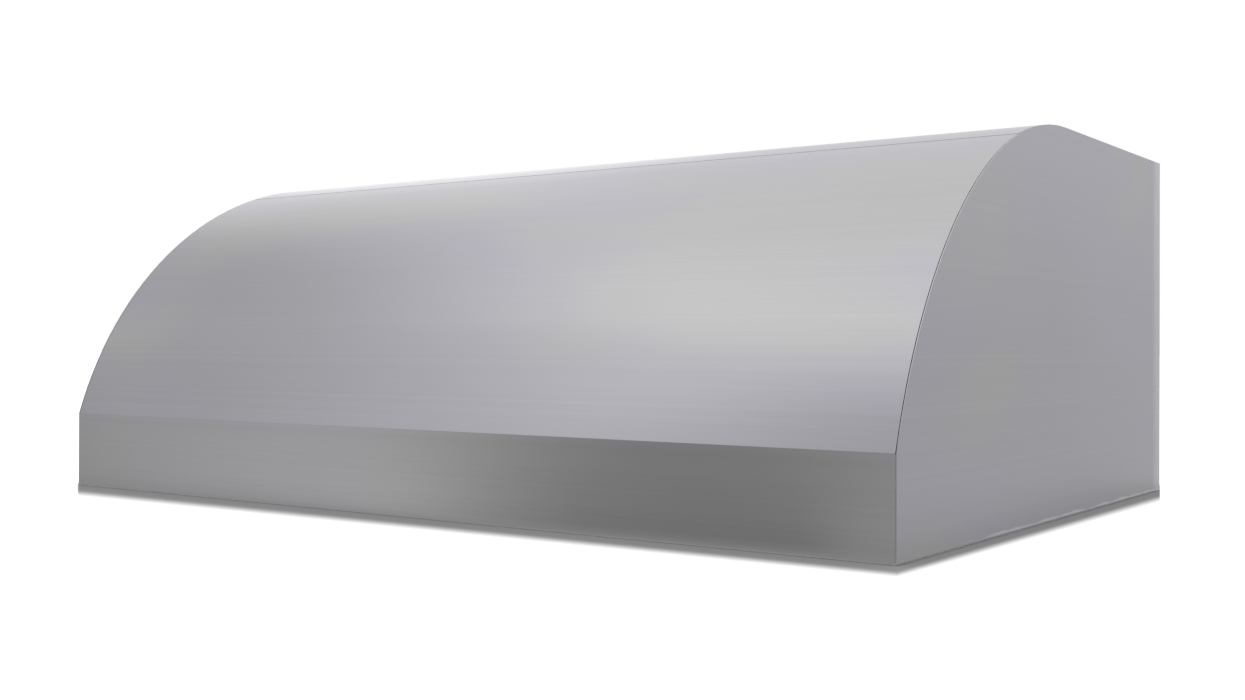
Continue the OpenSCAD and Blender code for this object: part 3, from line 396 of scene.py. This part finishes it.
def knob_steel(name):
    """Turned steel with rings on its face, and black paint in the pointer's groove, which is half
    as deep as it is wide. Both knobs stand as far from the middle, and this serves both."""
    finish = Finish(name)
    x, y, z = finish.axes()
    off_x = abs(x) - KNOB_AXIS.x
    off_y = y - KNOB_AXIS.y
    radius = (off_x * off_x + off_y * off_y) ** 0.5
    rings = finish.node(
        "ShaderNodeTexNoise",
        {"noise_dimensions": "1D"},
        {"W": radius, "Scale": RINGS_PER_METRE, "Detail": 2.0},
    )
    turned = Field(finish, rings.outputs["Fac"])
    haze = finish.noise(30.0, detail=3.0)
    pointer = abs(off_x).step(*POINTER_EDGE) * off_y.step(*POINTER_START)
    pointer = pointer * (z - KNOB_AXIS.z).step(*POINTER_EDGE)
    steel = finish.blend(turned.step(0.3, 0.7), KNOB_DARK, KNOB_LIGHT)
    return finish.surface(
        {
            "Base Color": finish.blend(pointer, steel, POINTER_BLACK),
            "Metallic": 1 - pointer,
            "Roughness": haze * 0.08 + turned * 0.02 + pointer * 0.3 + 0.15,
            "Normal": finish.bump(turned, 0.02 * MM, 0.5),
        }
    )


ZINC_LIGHT = (0.52, 0.54, 0.56)
ZINC_DARK = (0.3, 0.32, 0.34)
ZINC_EDGE = (0.24, 0.25, 0.26)
CRYSTALS_PER_METRE = 70.0


def galvanised(name):
    """Zinc-coated sheet, with its spangle of crystals."""
    finish = Finish(name)
    crystals = finish.cells(CRYSTALS_PER_METRE)
    tint = finish.node("ShaderNodeSeparateColor", None, {0: crystals.outputs["Color"]})
    shade = Field(finish, tint.outputs[0])
    outlines = finish.cells(CRYSTALS_PER_METRE, "DISTANCE_TO_EDGE")
    edge = Field(finish, outlines.outputs["Distance"])
    dull = finish.noise(6.0, detail=3.0)
    colour = finish.blend(shade * 0.7 + dull * 0.3, ZINC_DARK, ZINC_LIGHT)
    return finish.surface(
        {
            "Base Color": finish.blend(edge.step(0.06, 0.0) * 0.35, colour, ZINC_EDGE),
            "Metallic": 1.0,
            "Roughness": shade * 0.14 + dull * 0.12 + 0.3,
            "Normal": finish.bump(shade, 0.03 * MM, 0.4),
        }
    )


def moulded(name, light, dark, rough):
    """A moulded or painted surface, with a fine even texture."""
    finish = Finish(name)
    cloud = finish.noise(18.0, detail=3.0)
    fine = finish.noise(500.0, detail=2.0)
    return finish.surface(
        {
            "Base Color": finish.blend(cloud, dark, light),
            "Roughness": fine * 0.14 + (rough - 0.07),
            "Normal": finish.bump(fine, 0.05 * MM, 0.5),
        }
    )


GLASS_CLEAR = (0.97, 0.98, 0.98)
GLASS_TINT = (0.9, 0.93, 0.94)
RIPPLES_PER_METRE = 260.0


def lens_glass(name):
    """Pressed glass with a ripple that spreads the light."""
    finish = Finish(name)
    ripple = finish.cells(RIPPLES_PER_METRE)
    pearl = Field(finish, ripple.outputs["Distance"])
    cloud = finish.noise(20.0)
    return finish.surface(
        {
            "Base Color": finish.blend(cloud, GLASS_TINT, GLASS_CLEAR),
            "Roughness": cloud * 0.08 + 0.12,
            "IOR": 1.5,
            "Transmission Weight": 0.85,
            "Normal": finish.bump(pearl, 0.5 * MM, 0.6),
        }
    )


FILTER_SLOPE = math.radians(20)

skin_along = front_skin()
skin_deep = side_skin()
mill_along = mill_steel("inner steel along the wall", 0)
mill_deep = mill_steel("inner steel down the filters", 1, FILTER_SLOPE)
bright = satin_steel("bright drawn steel", (0.68, 0.68, 0.69), (0.58, 0.58, 0.59), 0.2)
knob = knob_steel("turned knob steel")
ground = satin_steel("ground shaft steel", (0.6, 0.6, 0.61), (0.46, 0.46, 0.47), 0.21)
zinc = galvanised("galvanised sheet")
can = satin_steel("drawn aluminium can", (0.78, 0.79, 0.8), (0.68, 0.69, 0.71), 0.34)
paint = moulded("black motor paint", (0.035, 0.035, 0.037), (0.02, 0.02, 0.021), 0.42)
rubber = moulded("black rubber", (0.03, 0.03, 0.03), (0.018, 0.018, 0.018), 0.72)
plastic = moulded("dark switch plastic", (0.07, 0.07, 0.075), (0.045, 0.045, 0.048), 0.5)
opal = moulded("opal bulb", (0.93, 0.92, 0.87), (0.88, 0.87, 0.82), 0.36)
glass = lens_glass("rippled lens glass")
ink = moulded("black dial ink", (0.04, 0.04, 0.042), (0.025, 0.025, 0.026), 0.46)

FILTERS = ("1", "2", "3")
SIDES = ("left", "right")


def each(stem, endings):
    return [f"{stem}_{end}" for end in endings]


DRESS = {
    skin_along: ["front_panel", "top_panel"],
    skin_deep: each("side_panel", SIDES),
    mill_along: [
        "lamp_panel",
        "capture_liner",
        "front_filter_rail",
        "rear_filter_rail",
        "grease_tray",
        "seam_strip",
        "duct_collar",
        *each("filter_frame", FILTERS),
        *each("damper_flap", SIDES),
    ],
    mill_deep: [*each("filter_baffles", FILTERS), *each("side_rail", SIDES)],
    bright: [
        "filter_rod",
        "lamp_trims",
        "pan_head_screws",
        *each("filter_handle", FILTERS),
        *each("filter_latch", FILTERS),
    ],
    knob: ["fan_knob", "light_knob"],
    ground: ["motor_shaft", "motor_bearings", "damper_rod", "fan_knob_shaft", "light_knob_shaft"],
    zinc: [
        "back_panel",
        "wall_rail_upper",
        "wall_rail_lower",
        "outlet_box",
        "junction_box",
        "junction_cover",
        "control_box",
        "lamp_cans",
        "wiring_conduit",
        *each("blower_housing", SIDES),
        *each("inlet_ring", SIDES),
        *each("impeller", SIDES),
    ],
    can: ["motor_capacitor"],
    paint: ["motor"],
    rubber: ["motor_mounts", "damper_gasket"],
    plastic: ["fan_switch", "light_dimmer"],
    opal: ["lamp_bulbs"],
    glass: ["lamp_lenses"],
}

for material, nodes in DRESS.items():
    for name in nodes:
        slots = frame["nodes"][name].data.materials
        slots.clear()
        slots.append(material)


# Sheet and turned parts, with the small radius that cutting and folding leave on their edges

SAME_POINT = 0.01 * MM
SAME_PLANE = math.radians(0.4)
SHARP_EDGE = math.radians(30)
SMOOTH_EDGE = math.radians(12)
ROUNDED_EDGE = math.radians(60)
EASING_STEPS = 2
EASING_FACE = 1.6
EASING_EDGE = 1.1


def add_mesh(name, bm, material):
    mesh = bpy.data.meshes.new(name)
    bm.to_mesh(mesh)
    bm.free()
    mesh.materials.append(material)
    made = bpy.data.objects.new(name, mesh)
    bpy.context.scene.collection.objects.link(made)
    return made


def slimness(face):
    """About how wide a face is across its narrow way."""
    return face.calc_area() / max(edge.calc_length() for edge in face.edges)


def turn_at(edge):
    """The angle between the two faces at an edge, or a half turn where there aren't two."""
    return edge.calc_face_angle(0) if len(edge.link_faces) == 2 else math.pi


def ease_edges(bm, width):
    bmesh.ops.remove_doubles(bm, verts=bm.verts[:], dist=SAME_POINT)
    bmesh.ops.dissolve_limit(bm, angle_limit=SAME_PLANE, verts=bm.verts[:], edges=bm.edges[:])
    edges = [e for e in bm.edges if len(e.link_faces) == 2 and turn_at(e) > SHARP_EDGE]
    bmesh.ops.bevel(
        bm,
        geom=edges,
        offset=width,
        offset_type="OFFSET",
        affect="EDGES",
        segments=EASING_STEPS,
        profile=0.5,
        material=-1,
        clamp_overlap=True,
    )


def shade_edges(bm, width):
    """Smooth shading over curved sheet and along the eased edges, and sharp between flat faces.
    A face belongs to an easing when it is slim, and an edge when it is longer than its ends."""
    slim = {face.index: slimness(face) < EASING_FACE * width for face in bm.faces}
    for face in bm.faces:
        face.smooth = True
    for edge in bm.edges:
        beside_easing = any(slim[face.index] for face in edge.link_faces)
        along = beside_easing and edge.calc_length() > EASING_EDGE * width
        turn = turn_at(edge)
        edge.smooth = turn < SMOOTH_EDGE or (along and turn < ROUNDED_EDGE)


def add_eased(name, width):
    """A copy of a CAD node with its edges eased, which stands in for it."""
    node = frame["nodes"][name]
    bm = bmesh.new()
    bm.from_mesh(node.data)
    ease_edges(bm, width)
    shade_edges(bm, width)
    piece = add_mesh(name + "_eased", bm, node.data.materials[0])
    flats = piece.modifiers.new("flat faces stay flat", "WEIGHTED_NORMAL")
    flats.keep_sharp = True
    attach(piece, next(body for body, empty in frame["bodies"].items() if empty == node.parent))
    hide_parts(name)


EASED = {
    0.45 * MM: [*each("side_panel", SIDES), "front_panel", "top_panel"],
    0.3 * MM: [
        "back_panel",
        "wall_rail_upper",
        "wall_rail_lower",
        "lamp_panel",
        "capture_liner",
        "front_filter_rail",
        "rear_filter_rail",
        "grease_tray",
        *each("side_rail", SIDES),
        *each("filter_frame", FILTERS),
        *each("filter_baffles", FILTERS),
        *each("filter_latch", FILTERS),
        "fan_knob",
        "light_knob",
        "lamp_trims",
        "junction_cover",
        "duct_collar",
    ],
}
for width, names in EASED.items():
    for name in names:
        add_eased(name, width)


# Marks printed on the lamp panel round the knobs

INK = 0.12 * MM
MARK_RADIUS = 24 * MM
MARK_START = math.radians(40)
MARK_WIDTH = (0.7 * MM, 3.2 * MM)
MARK_STEPS = 48
DOT_RADIUS = 1.5 * MM
DOT_SIDES = 32
DIALS = {"fan_knob": math.radians(270), "light_knob": math.radians(300)}


def skin_rings(bm, rings):
    """A closed strip through equal rings of points, with a face at each end."""
    made = [[bm.verts.new(point) for point in ring] for ring in rings]
    for first, second in zip(made, made[1:]):
        for k in range(len(first)):
            bm.faces.new((first[k - 1], first[k], second[k], second[k - 1]))
    bm.faces.new(made[0])
    bm.faces.new(made[-1])


def sweep_section(middle, turn, part):
    """The four corners of a sweep's section, so far along it."""
    angle = MARK_START + (turn - MARK_START) * part
    outward = Vector((math.sin(angle), -math.cos(angle), 0))
    up = Vector((0, 0, INK / 2))
    inner = middle + outward * MARK_RADIUS
    outer = inner + outward * (MARK_WIDTH[0] + (MARK_WIDTH[1] - MARK_WIDTH[0]) * part)
    return inner - up, outer - up, outer + up, inner + up


def add_dial_marks():
    """A dot where each knob is off, then a sweep that widens as far as the knob turns."""
    bm = bmesh.new()
    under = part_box("lamp_panel")[0].z
    for name, turn in DIALS.items():
        middle = under_middle(name)
        middle.z = under - INK / 2
        parts = [k / MARK_STEPS for k in range(MARK_STEPS + 1)]
        skin_rings(bm, [sweep_section(middle, turn, part) for part in parts])
        dot = middle + Vector((0, -MARK_RADIUS - 2 * DOT_RADIUS, 0))
        bmesh.ops.create_cone(
            bm,
            cap_ends=True,
            segments=DOT_SIDES,
            radius1=DOT_RADIUS,
            radius2=DOT_RADIUS,
            depth=INK,
            matrix=Matrix.Translation(dot),
        )
    bmesh.ops.recalc_face_normals(bm, faces=bm.faces[:])
    marks = add_mesh("dial_marks", bm, ink)
    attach(marks, "hood")


add_dial_marks()


# Welds that close the front corners, from the foot to the top of the band

WELD_DEPTHS = (0.34 * MM, 0.26 * MM, 0.24 * MM, 0.26 * MM, 0.34 * MM)
WELD_BACK = 1.1 * MM
WELD_SHORT = 1 * MM


def add_corner_welds():
    """A bead with a rounded face in the gap between the front panel and each side panel."""
    bm = bmesh.new()
    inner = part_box("front_panel")[1].x
    gap = HALF_WIDTH - SHEET - inner
    last = len(WELD_DEPTHS) - 1
    outline = [(inner + gap * k / last, depth) for k, depth in enumerate(WELD_DEPTHS)]
    outline += [(inner + gap, WELD_BACK), (inner, WELD_BACK)]
    ends = (FOOT + WELD_SHORT, FOOT + BAND - WELD_SHORT)
    for side in (-1, 1):
        skin_rings(bm, [[(side * x, FRONT + depth, z) for x, depth in outline] for z in ends])
    bmesh.ops.recalc_face_normals(bm, faces=bm.faces[:])
    welds = add_mesh("corner_welds", bm, skin_along)
    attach(welds, "hood")


add_corner_welds()


# Studio: a pale floor just under the hood, open below it, a light tent round both, which only
# reflections show, and one lamp

FLOOR_REACH = 40.0
FLOOR_UNDER = 0.6 * MM
# The floor's colour is painted darker just round the hood's foot, a painted contact shadow, going
# from the first floor tone at the foot to the second clear of it
FLOOR_SHADE_REACH = 7 * MM
FLOOR_SHADE_AND_PALE = (0.33, 0.45)
FLOOR_GLOW = 0.9
OPENING_INSET = 20 * MM
OPENING_SOFT = 0.5 * MM
WORLD_LIGHT = 0.7
LAMP_PLACE = Vector((-1.1, 1.0, 2.4))
LAMP_TARGET = Vector((0, -0.4, 0))
LAMP_SIZE = (2.0, 1.6)
LAMP_POWER = 36

# The shadow falls towards one place on the floor, and SHADOW_AWAY is the way from there to the
# hood. It ends, from full to none, at these shares of the distance to that place

SHADOW_TOWARDS = Vector((1.146, -2.188))
SHADOW_AWAY = Vector((-0.616, 0.788))
SHADOW_FALL = (0.016, 0.047)
SHADOW_SOFT = 4 * MM
SHADOW_TUCK = (6 * SHADOW_SOFT, 4 * SHADOW_SOFT)
SHADOW_NEAREST = 0.05

# Grey levels of the tent on each side, by height as a share of its radius, the places along Y, X
# and Y where each side gives way to the next, and how far and how dark the painted shadow at the
# hood's foot reaches

TENT_RADIUS = 6.0
TENT_CLEAR = 2 * MM
DOME_STEPS = (96, 48)
RISE_LEFT = [(0.0, 0.52), (0.30, 0.54), (0.58, 0.59), (0.68, 0.70), (0.80, 1.12), (1.0, 0.85)]
RISE_FRONT = [(0.0, 0.55), (0.16, 0.68), (0.36, 0.76), (0.66, 0.78), (0.80, 1.12), (1.0, 0.85)]
RISE_BACK = [(0.0, 0.6), (0.2, 1.1), (0.5, 0.85), (1.0, 0.85)]
RISE_RIGHT = [(0.0, 0.55), (0.15, 0.62), (0.5, 0.8), (1.0, 0.85)]
LEFT_TO_FRONT = (-2.6, -4.4)
BACK_TO_RIGHT = (-1.0, 1.2)
FRONT_TO_BACK = (-1.5, 3.0)
FOOT_SHADOW_OUT = (0.16, 0.02)
FOOT_SHADOW_UP = (FOOT + 0.05, FOOT + 0.02)
FOOT_SHADOW_DARK = 0.2

# The card that the band mirrors: grey levels by how far aside a point lies, seen from the apex,
# where the camera's image stands behind the band, as a share of the card's reach

CARD_APEX = Vector((1.146, 0.359))
CARD_TOP = (0.2, 0.0)
CARD_FRONT = (FRONT, FRONT - 0.05)
CARD_REACH = 2.0
CARD_NEAREST = 0.1
CARD_TONES = [
    (0.2095, 0.80),
    (0.2243, 0.80),
    (0.2460, 0.50),
    (0.2982, 0.50),
    (0.3475, 0.54),
    (0.388, 0.79),
    (0.436, 1.15),
    (0.461, 1.23),
    (0.535, 1.13),
    (0.6137, 1.02),
    (0.7024, 0.80),
    (0.7813, 0.74),
]

# A faint shade further out, above the card

SHADE_ASIDE = ((0.439, 0.478), (0.636, 0.537))
SHADE_BEFORE = (-2.0, -3.0)
SHADE_TOP = (0.75, 0.5)
SHADE_DARK = 0.2

# Soft round patches on the tent: azimuth, elevation, inner and outer radius in degrees, and gain

PATCHES = [
    (40, 44, 4, 15, 0.38),
    (28, 30, 4, 11, 0.68),
    (88, 50, 8, 26, -0.10),
    (17, 28, 6, 15, -0.44),
    (22, 42, 4, 12, -0.08),
    (56, 17, 4, 13, -0.22),
    (36, 60, 4, 14, -0.12),
    (57, 53, 3, 12, 0.16),
    (62, 38, 5, 16, 0.05),
    (40, 31, 4, 9, -0.16),
    (50, 40, 4, 11, -0.09),
    (80, 48, 5, 14, -0.07),
    (117, 40, 6, 16, 0.11),
    (136, 16, 4, 18, 0.60),
]


def rectangle(bm, x0, x1, y0, y1, z):
    corners = [bm.verts.new(c) for c in ((x0, y0, z), (x1, y0, z), (x1, y1, z), (x0, y1, z))]
    return [bm.edges.new((corners[k - 1], corners[k])) for k in range(4)]


def beside_hood(x, y):
    """Distance out from the hood's footprint."""
    middle = (FRONT + BACK) / 2
    reach_x = (abs(x) - HALF_WIDTH).maths("MAXIMUM", 0.0)
    reach_y = (abs(y - middle) - (BACK - FRONT) / 2).maths("MAXIMUM", 0.0)
    return (reach_x * reach_x + reach_y * reach_y) ** 0.5


def between(place, start, end):
    """1 from start to end, with soft ends outside them."""
    return place.step(start - SHADOW_SOFT, start) * place.step(end + SHADOW_SOFT, end)


def cast_shadow(x, y):
    """0 in the shadow that the hood throws forward and to its right, and 1 clear of it. A point
    falls in it by how near it is to an edge of the footprint, going away from SHADOW_TOWARDS."""
    off_x, off_y = x - SHADOW_TOWARDS.x, y - SHADOW_TOWARDS.y
    away = (off_x * SHADOW_AWAY.x + off_y * SHADOW_AWAY.y).maths("MAXIMUM", SHADOW_NEAREST)
    to_front = (off_y / (FRONT - SHADOW_TOWARDS.y)).maths("MAXIMUM", SHADOW_NEAREST)
    to_side = (off_x / (HALF_WIDTH - SHADOW_TOWARDS.x)).maths("MAXIMUM", SHADOW_NEAREST)
    past_front = between(off_x / to_front + SHADOW_TOWARDS.x, -HALF_WIDTH, HALF_WIDTH)
    past_side = between(off_y / to_side + SHADOW_TOWARDS.y, FRONT, BACK)
    before = y.step(*(FRONT + tuck for tuck in SHADOW_TUCK)) * past_front
    beside = x.step(*(HALF_WIDTH - tuck for tuck in SHADOW_TUCK)) * past_side
    darks = [
        there * ((1 - reach) / away).step(*reversed(SHADOW_FALL))
        for there, reach in ((before, to_front), (beside, to_side))
    ]
    return 1 - darks[0].maths("MAXIMUM", darks[1])


def floor_finish():
    """Pale floor: lit by the lamp, lifted to white for the camera outside a painted shadow,
    painted darker right at the hood's foot as a painted contact shadow, and open as seen from
    below.
    """
    finish = Finish("pale floor")
    x, y, z = finish.axes()
    path = finish.node("ShaderNodeLightPath")
    geometry = finish.node("ShaderNodeNewGeometry")
    # Painted contact shadow: the floor's colour darkens towards the hood's foot
    near = beside_hood(x, y).step(0.0, FLOOR_SHADE_REACH)
    pale = finish.blend(near, *(grey(tone) for tone in FLOOR_SHADE_AND_PALE))
    matt = finish.node("ShaderNodeBsdfDiffuse", None, {"Color": pale})
    seen = Field(finish, path.outputs["Is Camera Ray"])
    glossy = Field(finish, path.outputs["Is Glossy Ray"])
    clear = Field(finish, path.outputs["Is Transmission Ray"])
    glow = (seen + glossy + clear).maths("MINIMUM", 1.0) * cast_shadow(x, y) * FLOOR_GLOW
    lift = finish.node("ShaderNodeEmission", None, {"Strength": glow})
    both = finish.node("ShaderNodeAddShader", None, {0: matt.outputs[0], 1: lift.outputs[0]})
    hole = finish.node("ShaderNodeBsdfTransparent")
    under = beside_hood(x, y).step(OPENING_SOFT, 0.0) * (1 - seen)
    open_side = under.maths("MAXIMUM", Field(finish, geometry.outputs["Backfacing"]))
    mix = finish.node(
        "ShaderNodeMixShader", None, {0: open_side, 1: both.outputs[0], 2: hole.outputs[0]}
    )
    finish.tree.links.new(mix.outputs[0], finish.output.inputs["Surface"])
    return finish.material


def make_floor():
    bm = bmesh.new()
    z = FOOT - FLOOR_UNDER
    outer = rectangle(bm, -FLOOR_REACH, FLOOR_REACH, -FLOOR_REACH, FLOOR_REACH, z)
    inner = rectangle(
        bm,
        -HALF_WIDTH + OPENING_INSET,
        HALF_WIDTH - OPENING_INSET,
        FRONT + OPENING_INSET,
        BACK - OPENING_INSET,
        z,
    )
    bmesh.ops.bridge_loops(bm, edges=outer + inner)
    bmesh.ops.recalc_face_normals(bm, faces=bm.faces[:])
    if bm.faces[:][0].normal.z < 0:
        bmesh.ops.reverse_faces(bm, faces=bm.faces[:])
    floor = add_mesh("floor", bm, floor_finish())


def make_lamp():
    """A soft overhead lamp behind the hood, which reflections don't show."""
    lamp = bpy.data.lights.new("overhead", "AREA")
    lamp.shape = "RECTANGLE"
    lamp.size, lamp.size_y = LAMP_SIZE
    lamp.energy = LAMP_POWER
    holder = bpy.data.objects.new("overhead", lamp)
    holder.location = LAMP_PLACE
    holder.rotation_euler = (LAMP_TARGET - LAMP_PLACE).to_track_quat("-Z", "Y").to_euler()
    holder.visible_camera = False
    holder.visible_glossy = False
    bpy.context.scene.collection.objects.link(holder)


def tent_patch(axes, azimuth, elevation, inner, outer):
    """1 inside a round patch of the tent and 0 outside it, by its direction in degrees, with the
    azimuth turning from the front to the left."""
    turn, tilt = math.radians(azimuth), math.radians(elevation)
    across = -math.sin(turn) * math.cos(tilt), -math.cos(turn) * math.cos(tilt), math.sin(tilt)
    facing = sum(axis * part for axis, part in zip(axes, across)) / TENT_RADIUS
    return facing.step(math.cos(math.radians(outer)), math.cos(math.radians(inner)))


def tent_finish():
    """The inside of the light tent: grey low down, brighter overhead and behind the hood, with one
    dark card on the floor in front and a painted shadow round the hood's foot."""
    finish = Finish("light tent")
    x, y, z = finish.axes()
    aside = (CARD_APEX.x - x) / (CARD_APEX.y - y).maths("MAXIMUM", CARD_NEAREST)
    rise = z / TENT_RADIUS
    card = y.step(*CARD_FRONT) * rise.step(*CARD_TOP)
    shade = aside.step(*SHADE_ASIDE[0]) * aside.step(*SHADE_ASIDE[1])
    shade = shade * y.step(*SHADE_BEFORE) * rise.step(*SHADE_TOP)
    # A painted shadow on the tent's floor sheet round the hood's foot, which reflections in the
    # sheets show
    painted_foot_shadow = beside_hood(x, y).step(*FOOT_SHADOW_OUT) * z.step(*FOOT_SHADOW_UP)
    left, front, back, right = [
        finish.greys(rise, stops) for stops in (RISE_LEFT, RISE_FRONT, RISE_BACK, RISE_RIGHT)
    ]
    before = finish.blend(y.step(*LEFT_TO_FRONT), left, front)
    beyond = finish.blend(x.step(*BACK_TO_RIGHT), back, right)
    tone = finish.blend(y.step(*FRONT_TO_BACK), before, beyond)
    carded = finish.blend(1.0, tone, finish.greys(aside / CARD_REACH, CARD_TONES), "MULTIPLY")
    tone = finish.blend(card, tone, carded)
    level = (1 - painted_foot_shadow * FOOT_SHADOW_DARK) * (1 - shade * SHADE_DARK)
    for *place, gain in PATCHES:
        level = level * (1 + tent_patch((x, y, z - FOOT), *place) * gain)
    emission = finish.node("ShaderNodeEmission", None, {"Color": tone, "Strength": level})
    finish.tree.links.new(emission.outputs[0], finish.output.inputs["Surface"])
    return finish.material


def make_tent():
    """A dome with a floor sheet, which only reflections show."""
    finish = tent_finish()
    dome = bmesh.new()
    bmesh.ops.create_uvsphere(
        dome,
        u_segments=DOME_STEPS[0],
        v_segments=DOME_STEPS[1],
        radius=TENT_RADIUS,
        matrix=Matrix.Translation((0, 0, FOOT)),
    )
    bmesh.ops.bisect_plane(
        dome,
        geom=dome.verts[:] + dome.edges[:] + dome.faces[:],
        plane_co=(0, 0, FOOT + FLOOR_UNDER),
        plane_no=(0, 0, -1),
        clear_outer=True,
    )
    sheet = bmesh.new()
    z = FOOT - FLOOR_UNDER / 2
    outer = rectangle(sheet, -TENT_RADIUS, TENT_RADIUS, -TENT_RADIUS, TENT_RADIUS, z)
    reach = HALF_WIDTH + TENT_CLEAR
    inner = rectangle(sheet, -reach, reach, FRONT - TENT_CLEAR, BACK + TENT_CLEAR, z)
    bmesh.ops.bridge_loops(sheet, edges=outer + inner)
    for name, bm in (("light tent", dome), ("light tent floor", sheet)):
        piece = add_mesh(name, bm, finish)
        piece.visible_camera = False
        piece.visible_diffuse = False
        piece.visible_shadow = False
        piece.visible_transmission = False


def make_world():
    """White for the camera, and in metal and glass; a plain level for everything else."""
    world = bpy.data.worlds.new("white studio")
    world.use_nodes = True
    tree = world.node_tree
    tree.nodes.clear()
    path = tree.nodes.new("ShaderNodeLightPath")
    background = tree.nodes.new("ShaderNodeBackground")
    background.inputs["Color"].default_value = (1, 1, 1, 1)
    output = tree.nodes.new("ShaderNodeOutputWorld")
    shown = tree.nodes.new("ShaderNodeMath")
    shown.operation = "ADD"
    tree.links.new(path.outputs["Is Camera Ray"], shown.inputs[0])
    tree.links.new(path.outputs["Is Glossy Ray"], shown.inputs[1])
    through = tree.nodes.new("ShaderNodeMath")
    through.operation = "ADD"
    through.use_clamp = True
    tree.links.new(shown.outputs[0], through.inputs[0])
    tree.links.new(path.outputs["Is Transmission Ray"], through.inputs[1])
    level = tree.nodes.new("ShaderNodeMapRange")
    level.inputs["To Min"].default_value = WORLD_LIGHT
    level.inputs["To Max"].default_value = 1.0
    tree.links.new(through.outputs[0], level.inputs["Value"])
    tree.links.new(level.outputs["Result"], background.inputs["Strength"])
    tree.links.new(background.outputs[0], output.inputs["Surface"])
    bpy.context.scene.world = world


make_floor()
make_tent()
make_world()
make_lamp()


# Camera, at the place and angle that the photograph was taken from. Its place is measured from
# the middle of the band's foot, its angles are in radians, and its lens and the place where its
# axis meets the picture are in pixels of a picture PHOTO_WIDTH wide

PHOTO_WIDTH = 1245
CAMERA_PLACE = Vector((1146.29, -1273.80, 198.18)) * MM
CAMERA_TURN = 0.6637
CAMERA_TILT = 0.0038
CAMERA_ROLL = 0.0029
FOCAL_PIXELS = 1465.18
AXIS_ASIDE_PIXELS = -122.71
AXIS_DOWN_PIXELS = -9.27
SENSOR_WIDTH = 36.0
SEEN_FROM, SEEN_TO = 0.02, 200


def make_camera():
    data = bpy.data.cameras.new("photograph")
    data.sensor_width = SENSOR_WIDTH
    data.lens = FOCAL_PIXELS / PHOTO_WIDTH * SENSOR_WIDTH
    data.shift_x = -AXIS_ASIDE_PIXELS / PHOTO_WIDTH
    data.shift_y = AXIS_DOWN_PIXELS / PHOTO_WIDTH
    data.clip_start, data.clip_end = SEEN_FROM, SEEN_TO
    turn, tilt, roll = CAMERA_TURN, CAMERA_TILT, CAMERA_ROLL
    ahead = Vector(
        (-math.sin(turn) * math.cos(tilt), math.cos(turn) * math.cos(tilt), math.sin(tilt))
    )
    aside = Vector((math.cos(turn), math.sin(turn), 0))
    over = aside.cross(ahead)
    right = aside * math.cos(roll) + over * math.sin(roll)
    up = over * math.cos(roll) - aside * math.sin(roll)
    camera = bpy.data.objects.new("photograph", data)
    camera.matrix_world = Matrix.Translation(
        CAMERA_PLACE + Vector((0, FRONT, FOOT))
    ) @ Matrix((right, up, -ahead)).transposed().to_4x4()
    bpy.context.scene.collection.objects.link(camera)
    bpy.context.scene.camera = camera


make_camera()
bpy.context.scene.view_settings.view_transform = "Standard"
